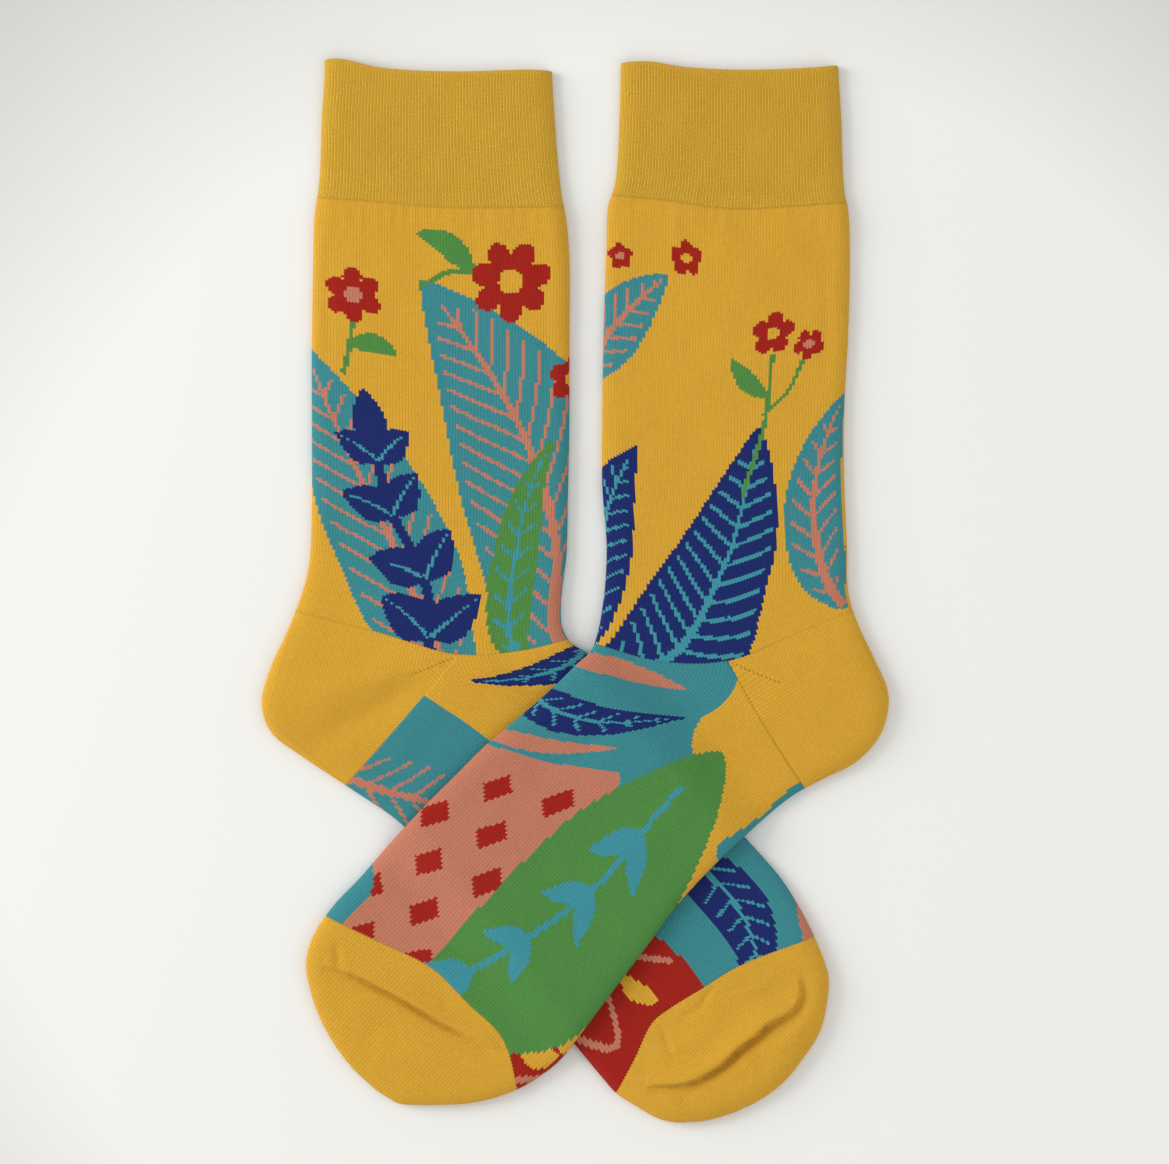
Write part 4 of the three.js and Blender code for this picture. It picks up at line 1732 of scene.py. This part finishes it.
@dataclass
class KnittedSock:
    """One sock: its five knitted zones."""

    shape: FlatSock
    leg_chart: Chart
    foot_chart: Chart
    wale_depth: float = 0.06
    rib_depth: float = 0.25
    lap: float = 0.3
    lap_rise: float = 0.02
    tip_inset: float = 0.6
    look_ahead: float = 0.3
    lining_shade: float = 0.8
    cuff_length: float = 48.0
    cuff_rings: int = 34
    cuff_inner_rings: int = 9
    edge_rings: int = 7
    cuff_yarn: tuple[int, int, int] = (219, 171, 54)
    inward: bool = False
    columns: Columns = field(default_factory=lambda: Columns(2 * WALES, WALES))
    cuff_columns: Columns = field(default_factory=lambda: Columns(4 * CUFF_RIBS, 2 * CUFF_RIBS))

    def __post_init__(self) -> None:
        """Finds where each column meets the borders, half a course lower inside a wale."""
        sock, columns = self.shape, self.columns
        self.half = np.zeros(columns.count + 1)
        self.half[1 : columns.upper : 2] = 1.0
        self.cuff_foot = sock.crossing("cuff_foot", columns)
        heel_course = sock.crossing("heel_course", columns)
        heel_end = np.maximum(sock.crossing("heel_end", columns), heel_course)
        toe_course = sock.crossing("toe_course", columns)
        half = 0.5 * self.half[None, :]
        self.leg_start = sock.spread(self.cuff_foot, heel_course, half / LEG_COURSES, columns)[0]
        self.heel_course = sock.spread(
            self.cuff_foot, heel_course, 1 + half / LEG_COURSES, columns
        )[0]
        self.heel_end = heel_end + self.heel_course - heel_course
        self.toe_course = sock.spread(heel_end, toe_course, 1 + half / FOOT_COURSES, columns)[0]
        self.tip = np.full(columns.count + 1, float(sock.last))

    def rows_between(self, start: Array, end: Array, courses: int) -> tuple[Array, Array]:
        """Places of a zone's course lines.

        Args:
            start: Where each column starts.
            end: Where each column ends.
            courses: How many courses there are.

        Returns:
            The place and the course number of each grid point.
        """
        course = np.arange(courses + 1.0)[:, None]
        number = course + 0.5 * self.half[None, :]
        places = self.shape.spread(start, end, course / courses, self.columns)
        if start is self.leg_start:
            places[0] = self.cuff_foot
            number[0] = 0.0
        if end is self.tip:
            plain = start.copy()
            plain[1 : self.columns.upper : 2] = (
                start[: self.columns.upper - 1 : 2] + start[2 : self.columns.upper + 1 : 2]
            ) / 2
            places[1:] = self.shape.spread(plain, end, course[1:] / courses, self.columns)
        return places, number

    def knit_zone(
        self,
        zone: str,
        start: Array,
        end: Array,
        courses: int,
        colours: Array,
        material: bpy.types.Material,
        shift: Array,
        span: tuple[int, int] | None = None,
        way: Callable[[Array, Array], Array] | None = None,
        steps: tuple[int, int] = (5, 6),
        tipped: bool = False,
    ) -> bpy.types.Object:
        """Makes one zone of plain knit.

        Args:
            zone: The zone's name.
            start: Where each column starts.
            end: Where each column ends.
            courses: How many courses there are.
            colours: Linear colour of each stitch, or one colour.
            material: The knit's material.
            shift: What is added to each point, in millimetres.
            span: The first and last column of a piece that doesn't go all round.
            way: Gives the stitch coordinates from the plan where they don't follow the columns.
            steps: How many courses and columns go into one face of the inside.
            tipped: Whether the zone ends in a closed tip.

        Returns:
            The zone's object.
        """
        columns = self.columns
        places, number = self.rows_between(start, end, courses)
        laps = zone != "leg"
        if laps:
            places[0] -= self.lap * (places[1] - places[0])
            number[0] -= self.lap
        outer = self.shape.outer(places, columns)
        groove = np.ones(columns.count + 1)
        groove[: columns.upper + 1] = 1 - 2 * self.half[: columns.upper + 1]
        fade = smoothstep(nearest_on(self.shape.outline, outer[..., :2])[0], 0.4, 2.5)
        on_top = (np.arange(columns.count + 1) <= columns.upper).astype(float)
        outer[..., 2] -= self.wale_depth / 2 * groove * on_top * fade
        if laps:
            outer[0, :, 2] += self.lap_rise * on_top
        low_grid = self._inner(start, end - self.tip_inset if tipped else end, courses, steps)
        if tipped:
            edge = np.linspace(outer[-1, 0], outer[-1, columns.upper], columns.lower + 1)
            outer[-1, : columns.upper + 1] = np.repeat(edge, 2, axis=0)[: columns.upper + 1]
            outer[-1, columns.upper :] = edge[::-1]
            low_grid[-1] = low_grid[-1].mean(axis=0)
        counted = np.dstack([np.broadcast_to(columns.wales(), places.shape), number])
        stitches, low_stitches = corners(counted), corners(counted[:: steps[0], :: steps[1]])
        if way is not None:
            around = corners(outer[..., :2])
            stitches = way(around, around.mean(axis=2, keepdims=True))
        if colours.ndim == 1:
            shades = np.broadcast_to(colours, (courses, columns.count, 4))
        else:
            upper = np.repeat(colours[:, :WALES], 2, axis=1)
            shades = np.concatenate([upper, colours[:, WALES:]], axis=1)
        if span is not None:
            first, last = span
            outer, stitches = outer[:, first : last + 1], stitches[:, first:last]
            shades = shades[:, first:last]
            low_grid = low_grid[:, first // steps[1] : last // steps[1] + 1]
            low_stitches = low_stitches[:, first // steps[1] : last // steps[1]]
        lining = tuple(np.array(Yarn.MUSTARD.linear()) * (*(self.lining_shade,) * 3, 1.0))
        shell = Shell(
            f"{self.shape.name}_{zone}_knit", outer, low_grid, stitches, low_stitches, shades,
            lining, *steps, span is None, tipped,
        )
        return shell.build(shift, material, self.inward)

    def _inner(self, start: Array, end: Array, courses: int, steps: tuple[int, int]) -> Array:
        """The inner face's points at every few courses and columns.

        Args:
            start: Where each column starts.
            end: Where each column ends.
            courses: How many courses there are.
            steps: How many courses and columns go into one face.

        Returns:
            The coarse grid of points.
        """
        number = np.arange(0, courses + 1, steps[0])[:, None]
        places = self.shape.spread(start, end, number / courses, self.columns)
        return self.shape.inner(places, self.columns)[:, :: steps[1]]

    def cuff(self, material: bpy.types.Material, shift: Array) -> bpy.types.Object:
        """Makes the ribbed cuff with its rounded, turned edge.

        Args:
            material: The rib knit's material.
            shift: What is added to each point, in millimetres.

        Returns:
            The cuff's object.
        """
        sock, columns = self.shape, self.cuff_columns
        top = sock.crossing("cuff_top", columns)
        foot = sock.crossing("cuff_foot", columns)
        length, radius = self.cuff_length, sock.wall / 2
        mouth = top + (foot - top) * radius / length
        depth = np.linspace(0, 1, self.cuff_rings)[:, None]
        places = mouth + (foot - mouth) * depth
        outer = sock.outer(places, columns)
        count = columns.count + 1
        rib = np.zeros(count)
        rib[: columns.upper + 1] = -0.5 * np.cos(2 * np.pi * np.arange(columns.upper + 1) / 4)
        fade = smoothstep(nearest_on(sock.outline, outer[..., :2])[0], 0.6, 3.4)
        ends = smoothstep(depth * length, 0.2, 1.4) * smoothstep((1 - depth) * length, 0.0, 1.2)
        outer[..., 2] += self.rib_depth * rib * fade * ends
        inner = sock.inner(mouth + (foot - mouth) * np.linspace(1, 0, self.cuff_inner_rings)[:, None], columns)
        lead = outer[0] - outer[3]
        lead /= np.linalg.norm(lead, axis=-1, keepdims=True)
        middle, spoke = (outer[0] + inner[-1]) / 2, (outer[0] - inner[-1]) / 2
        reach = np.minimum(np.linalg.norm(spoke, axis=-1, keepdims=True), radius)
        angles = np.linspace(0, math.pi, self.edge_rings)[1:-1]
        turn = [middle - spoke * math.cos(a) + lead * reach * math.sin(a) for a in angles]
        rings = np.concatenate([inner, np.array(turn), outer])[:, :-1]
        run = np.concatenate(
            [[0], np.cumsum(np.linalg.norm(np.diff(rings, axis=0), axis=-1).mean(axis=1))]
        )
        rows, wide = rings.shape[:2]
        r, c = np.meshgrid(np.arange(rows), np.arange(wide), indexing="ij")
        step, after = (c + 1) % wide, (r + 1) % rows
        quads = np.stack(
            [r * wide + c, r * wide + step, after * wide + step, after * wide + c], axis=-1
        )
        across = columns.wales(CUFF_RIBS)
        u = np.stack([across[:-1], across[1:], across[1:], across[:-1]], axis=-1)
        run_on = np.append(run[1:], run[-1] + 2)
        v = np.stack([run, run, run_on, run_on], axis=-1) / COURSE
        uv = np.stack(np.broadcast_arrays(u[None], v[:, None]), axis=-1)
        order = [3, 2, 1, 0] if self.inward else [0, 1, 2, 3]
        tint = np.tile(linear_rgba(self.cuff_yarn), (rows * wide * 4, 1))
        return make_object(
            f"{sock.name}_cuff_knit",
            (rings.reshape(-1, 3) + shift) * MM,
            quads[..., order].reshape(-1, 4).tolist(),
            uv[..., order, :].reshape(-1, 2),
            tint,
            material,
        )

    def heel_span(self) -> tuple[int, int]:
        """The columns of the heel, from the apex on the upper face to the apex below.

        Returns:
            The first and the last column.
        """
        open_columns = np.nonzero(self.heel_end - self.heel_course > 1e-4)[0]
        return int(open_columns[0]) - 1, int(open_columns[-1]) + 1

    def carried_on(self, border: Array, first: int, xy: Array) -> Array:
        """Stitch coordinates that carry the wales on from a border, with the courses along it.

        Args:
            border: Where each column meets the border.
            first: The first wale that is carried on.
            xy: The places in plan.

        Returns:
            The coordinates, in wales and courses.
        """
        even = slice(2 * first, self.columns.upper + 1, 2)
        line = self.shape.plan(border[None, :], self.columns)[0, even]
        ahead = self.shape.plan(border[None, :] + self.look_ahead, self.columns)[0, even]
        way = (line[-1] - line[0]) / np.hypot(*(line[-1] - line[0]))
        down = np.array([-way[1], way[0]])
        down *= np.sign(((ahead - line) @ down).mean())
        along, across = (line - line[0]) @ way, (line - line[0]) @ down
        place, depth = (xy - line[0]) @ way, (xy - line[0]) @ down
        wale = np.interp(place, along, first + np.arange(len(line)))
        wale = wale + (np.maximum(place - along[-1], 0) + np.minimum(place, 0)) / WALE
        return np.stack([wale, (depth - np.interp(place, along, across)) / COURSE], axis=-1)

    def heel_stitches(self, xy: Array, middle: Array) -> Array:
        """Stitch coordinates of the heel: on from the leg above its gore, up to the foot below it.

        Args:
            xy: Corners of each face in plan.
            middle: Middle of each face.

        Returns:
            The coordinates, in wales and courses.
        """
        apex = np.array(self.shape.borders["heel_end"][0])
        course = np.array(self.shape.borders["heel_course"][0]) - apex
        end = np.array(self.shape.borders["heel_end"][-1]) - apex
        course, end = course / np.hypot(*course), end / np.hypot(*end)
        gore = course + end
        side = np.sign(gore[0] * course[1] - gore[1] * course[0])
        centre = middle - apex
        above = ((gore[0] * centre[..., 1] - gore[1] * centre[..., 0]) * side > 0)[..., None]
        first = (self.heel_span()[0] + 1) // 2
        return np.where(
            above, *(self.carried_on(line, first, xy) for line in (self.heel_course, self.heel_end))
        )

    def toe_stitches(self, xy: Array, middle: Array) -> Array:
        """Stitch coordinates of the toe, carried on from the foot.

        Args:
            xy: Corners of each face in plan.
            middle: Not used.

        Returns:
            The coordinates, in wales and courses.
        """
        return self.carried_on(self.toe_course, 0, xy)


# Stitches set by Geometry Nodes


class StitchTree:
    """A Geometry Nodes tree that sets one bead after another along a line: thread at a seam, painted shade at the
    eyelets.
    """

    def __init__(self) -> None:
        """Builds the tree with named inputs for its sizes."""
        tree = bpy.data.node_groups.new("Stitch run", "GeometryNodeTree")
        face = tree.interface
        face.new_socket("Geometry", in_out="INPUT", socket_type="NodeSocketGeometry")
        for label, value in (
            ("Spacing", 0.001), ("Length", 0.001), ("Thickness", 0.0005), ("Slant", 0.5),
            ("Jitter", 0.1)
        ):
            face.new_socket(
                label, in_out="INPUT", socket_type="NodeSocketFloat"
            ).default_value = value
        face.new_socket("Bead material", in_out="INPUT", socket_type="NodeSocketMaterial")
        face.new_socket("Geometry", in_out="OUTPUT", socket_type="NodeSocketGeometry")
        sheet = NodeSheet(tree)
        given = {s.name: s for s in sheet.add("NodeGroupInput").outputs if s.name}
        curve = sheet.add("GeometryNodeMeshToCurve")
        sheet.feed(curve.inputs["Mesh"], given["Geometry"])
        level = sheet.add("GeometryNodeSetCurveNormal", mode="Z_UP")
        sheet.feed(level.inputs["Curve"], curve.outputs[0])
        points = sheet.add("GeometryNodeCurveToPoints", mode="LENGTH")
        sheet.feed(points.inputs["Curve"], level.outputs[0])
        sheet.feed(points.inputs["Length"], given["Spacing"])
        bead = sheet.add("GeometryNodeMeshUVSphere")
        bead.inputs["Segments"].default_value = 8
        bead.inputs["Rings"].default_value = 6
        bead.inputs["Radius"].default_value = 0.5
        size = sheet.add("ShaderNodeCombineXYZ")
        for socket, label in zip(size.inputs, ("Thickness", "Thickness", "Length")):
            sheet.feed(socket, given[label])
        shaped = sheet.add("GeometryNodeTransform")
        sheet.feed(shaped.inputs["Geometry"], bead.outputs["Mesh"])
        sheet.feed(shaped.inputs["Scale"], size.outputs[0])
        random = sheet.add("FunctionNodeRandomValue", data_type="FLOAT")
        random.inputs["Seed"].default_value = 11
        sheet.feed(random.inputs[2], sheet.math("SUBTRACT", 1.0, given["Jitter"]))
        sheet.feed(random.inputs[3], sheet.math("ADD", 1.0, given["Jitter"]))
        placed = sheet.add("GeometryNodeInstanceOnPoints")
        sheet.feed(placed.inputs["Points"], points.outputs["Points"])
        sheet.feed(placed.inputs["Instance"], shaped.outputs[0])
        sheet.feed(placed.inputs["Rotation"], points.outputs["Rotation"])
        sheet.feed(placed.inputs["Scale"], random.outputs[1])
        turned = sheet.add("GeometryNodeRotateInstances")
        sheet.feed(turned.inputs["Instances"], placed.outputs[0])
        twist = sheet.add("ShaderNodeCombineXYZ")
        sheet.feed(twist.inputs[1], given["Slant"])
        sheet.feed(turned.inputs["Rotation"], twist.outputs[0])
        turned.inputs["Local Space"].default_value = True
        real = sheet.add("GeometryNodeRealizeInstances")
        sheet.feed(real.inputs[0], turned.outputs[0])
        smooth = sheet.add("GeometryNodeSetShadeSmooth")
        sheet.feed(smooth.inputs[0], real.outputs[0])
        dressed = sheet.add("GeometryNodeSetMaterial")
        sheet.feed(dressed.inputs["Geometry"], smooth.outputs[0])
        sheet.feed(dressed.inputs["Material"], given["Bead material"])
        sheet.feed(sheet.add("NodeGroupOutput").inputs[0], dressed.outputs[0])
        self.tree = tree


@dataclass
class StitchRun:
    """Beads along a line on a sock: thread at a seam, painted shade at the eyelets."""

    name: str
    route: Array
    spacing: float
    length: float
    thickness: float
    slant: float
    jitter: float = 0.12

    def build(
        self, tree: StitchTree, material: bpy.types.Material, shift: Array
    ) -> bpy.types.Object:
        """Makes the run as a plain mesh.

        Args:
            tree: The generator.
            material: The thread's material.
            shift: What is added to each point, in millimetres.

        Returns:
            The object.
        """
        line = bpy.data.meshes.new(f"{self.name}_line")
        points = ((self.route + shift) * MM).tolist()
        line.from_pydata(points, [(k, k + 1) for k in range(len(points) - 1)], [])
        piece = bpy.data.objects.new(self.name, line)
        bpy.context.scene.collection.objects.link(piece)
        modifier = piece.modifiers.new("Stitches", "NODES")
        modifier.node_group = tree.tree
        keys = {s.name: s.identifier for s in tree.tree.interface.items_tree if s.in_out == "INPUT"}
        for label, value in (
            ("Spacing", self.spacing * MM),
            ("Length", self.length * MM),
            ("Thickness", self.thickness * MM),
            ("Slant", self.slant),
            ("Jitter", self.jitter),
            ("Bead material", material),
        ):
            modifier[keys[label]] = value
        graph = bpy.context.evaluated_depsgraph_get()
        made = bpy.data.meshes.new_from_object(piece.evaluated_get(graph))
        piece.modifiers.clear()
        piece.data = made
        made.name = self.name
        return piece


# The pair


@dataclass
class Studio:
    """The board, the soft lights and the camera above."""

    centre: Point = (3.3, 3.2)
    frame_width: float = 409.0
    distance: float = 1.6
    image: tuple[int, int] = (1169, 1164)
    sensor: float = 36.0

    def build(self) -> None:
        """Makes the floor, the lights, the world and the camera."""
        scene = bpy.context.scene
        bpy.ops.mesh.primitive_plane_add(size=4.0, location=(0, 0, 0))
        floor = bpy.context.object
        floor.name = "floor"
        floor.data.materials.append(FloorFinish().build())
        world = bpy.data.worlds.new("Studio")
        world.use_nodes = True
        back = world.node_tree.nodes["Background"]
        back.inputs["Color"].default_value = (1.0, 1.0, 0.985, 1.0)
        back.inputs["Strength"].default_value = 0.72
        scene.world = world
        self.lamp("Key", (-1.6, 0.45, 0.72), 1.0, 25.0)
        self.lamp("Fill", (0.9, -0.5, 0.9), 1.2, 3.0)
        scene.view_settings.view_transform = "Standard"
        data = bpy.data.cameras.new("Camera")
        data.sensor_width = self.sensor
        data.lens = self.sensor * self.distance / (self.frame_width * MM)
        camera = bpy.data.objects.new("Camera", data)
        camera.location = (self.centre[0] * MM, self.centre[1] * MM, self.distance)
        scene.collection.objects.link(camera)
        scene.camera = camera

    @staticmethod
    def lamp(name: str, place: tuple[float, float, float], size: float, power: float) -> None:
        """Adds a square soft light that faces the socks.

        Args:
            name: Its name.
            place: Where it hangs.
            size: Its side.
            power: Its power in watts.
        """
        data = bpy.data.lights.new(name, "AREA")
        data.energy, data.size = power, size
        lamp = bpy.data.objects.new(name, data)
        lamp.location = place
        lamp.rotation_euler = (-Vector(place)).to_track_quat("-Z", "Y").to_euler()
        bpy.context.scene.collection.objects.link(lamp)


@dataclass
class SockPair:
    """Both socks, the upper one's foot lying over the lower one's."""

    crossed_height: float = 4.5
    ride_clearance: float = 0.35
    ride_start: float = 6.0
    ride_fall: float = 14.0
    shift: Point = (0.0, 0.02)

    def ride_over(self, under: FlatSock) -> Callable[[Array], Array]:
        """How far the lower sock lifts the upper one.

        Args:
            under: The lower sock.

        Returns:
            A function from places in plan to the lift in millimetres.
        """
        ring = np.vstack([under.outline, under.outline[:1]])

        def lift(xy: Array) -> Array:
            distance = nearest_on(ring, xy)[0]
            signed = np.where(points_inside(ring, xy), -distance, distance)
            return (self.crossed_height + self.ride_clearance) * (
                1 - smoothstep(signed, -self.ride_start, self.ride_fall)
            )

        return lift

    def build(self) -> None:
        """Makes both socks, attaches their pieces to the root body and hides the matching model parts."""
        effects = Effects()
        # The rib knit's gap_shade paints shade into the pits between its ribs.
        rib = KnitFinish(
            "Rib knit", ribbed=True, relief=0.00028, gap_shade=0.3, fleck_share=0.14
        ).build(effects)
        plain = KnitFinish("Plain knit").build(effects)
        patterned = KnitFinish("Patterned knit", patchiness=0.08).build(effects)
        thread = ThreadAndEyeletShadeFinish("Seam thread", (222, 172, 66)).build(effects)
        # The eyelet beads are dark brown: painted shade where the gore's holes are.
        shade = ThreadAndEyeletShadeFinish("Eyelet painted shade", (140, 96, 28)).build(effects)
        tree = StitchTree()
        soft = [
            (
                *puckers(borders["cuff_foot"], 17.0, 26.0, 0.32, 4.6, seed),
                *puckers(borders["cuff_foot"], 4.6, 9.0, 0.13, 1.1, seed + 1),
            )
            for borders, seed in ((UNDER_BORDERS, 3), (OVER_BORDERS, 8))
        ]
        under = FlatSock("under", UNDER_SECTIONS, UNDER_BORDERS, (*UNDER_CREASES, *soft[0]))
        over = FlatSock(
            "over", OVER_SECTIONS, OVER_BORDERS, (*OVER_CREASES, *soft[1]), self.ride_over(under)
        )
        charts = {
            "under": (under_leg_chart(), under_foot_chart()),
            "over": (over_leg_chart(), over_foot_chart()),
        }
        move = np.array([*self.shift, 0.0])
        mustard = np.array(Yarn.MUSTARD.linear())
        for shape in (under, over):
            sock = KnittedSock(shape, *charts[shape.name], inward=shape is over)
            span = sock.heel_span()
            zones = {
                "cuff": sock.cuff(rib, move),
                "leg": sock.knit_zone(
                    "leg", sock.leg_start, sock.heel_course, LEG_COURSES, sock.leg_chart.colours(), patterned, move
                ),
                "heel": sock.knit_zone(
                    "heel", sock.heel_course, sock.heel_end, HEEL_COURSES, mustard, plain, move,
                    span=span, way=sock.heel_stitches, steps=(5, 1),
                ),
                "foot": sock.knit_zone(
                    "foot", sock.heel_end, sock.toe_course, FOOT_COURSES, sock.foot_chart.colours(), patterned, move
                ),
                "toe": sock.knit_zone(
                    "toe", sock.toe_course, sock.tip, TOE_COURSES, mustard, plain, move,
                    way=sock.toe_stitches, tipped=True,
                ),
            }
            for zone, piece in zones.items():
                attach(piece, "root")
                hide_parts(f"{shape.name}_{zone}")
                LOG.info("%s: %d faces", piece.name, len(piece.data.polygons))
            for run, finish in self.runs(shape):
                piece = run.build(tree, thread if finish == "seam" else shade, move)
                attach(piece, "root")
                LOG.info("%s: %d faces", piece.name, len(piece.data.polygons))

    @staticmethod
    def runs(shape: FlatSock) -> Iterable[tuple[StitchRun, str]]:
        """The sewn and worked details of a sock.

        Args:
            shape: The sock's shape.

        Yields:
            Each run of beads, and whether it is seam thread or the eyelets' painted shade.
        """
        if shape.name == "under":
            seams = (
                ((49.0, -137.5), (57.0, -139.6), (65.0, -138.6), (70.5, -138.6)),
                ((80.5, -134.9), (88.0, -135.1)),
            )
            gore = ((-43.0, -23.4), (-50.0, -26.3), (-57.0, -28.9))
        else:
            seams = (((-76.0, -128.6), (-66.0, -132.4), (-57.0, -137.4), (-50.5, -141.8)),)
            gore = ((55.0, -25.2), (62.0, -28.2), (71.0, -31.8))
        for number, seam in enumerate(seams, start=1):
            line = on_top(shape, seam, -0.02)
            yield StitchRun(f"{shape.name}_toe_seam_{number}", line, 1.2, 0.9, 0.4, 0.4), "seam"
        # The gore's eyelets are dark beads, painted shade of the holes.
        line = on_top(shape, gore, 0.0)
        yield StitchRun(f"{shape.name}_gore_eyelets", line, 1.45, 1.2, 0.26, 0.8), "eyelet"


def on_top(shape: FlatSock, route: Sequence[Point], rise: float) -> Array:
    """Lays a line in plan on a sock's upper face.

    Args:
        shape: The sock.
        route: The line's points in plan.
        rise: How far above the face it lies, in millimetres.

    Returns:
        The line's points in space.
    """
    line = smooth_route(route, 12)
    fine = np.linspace(0, shape.last, 40 * shape.last + 1)
    front, back = centripetal(shape.front, fine)[:, :2], centripetal(shape.back, fine)[:, :2]
    middle, chord = (front + back) / 2, back - front
    places = []
    for point in line:
        offset = point - middle
        off_line = np.abs(
            chord[:, 0] * offset[:, 1] - chord[:, 1] * offset[:, 0]
        ) / np.hypot(*chord.T)
        off_line = np.where(np.hypot(*offset.T) > np.hypot(*chord.T) / 2 + 1.0, NO_MATCH, off_line)
        places.append(fine[off_line.argmin()])
    level = shape.heights(np.array(places), line)[0]
    return np.column_stack([line, level + rise])


def main() -> None:
    """Builds the pair and the studio."""
    logging.basicConfig(level=logging.INFO, format="%(message)s")
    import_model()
    Studio().build()
    SockPair().build()


if __name__ == "__main__":
    main()
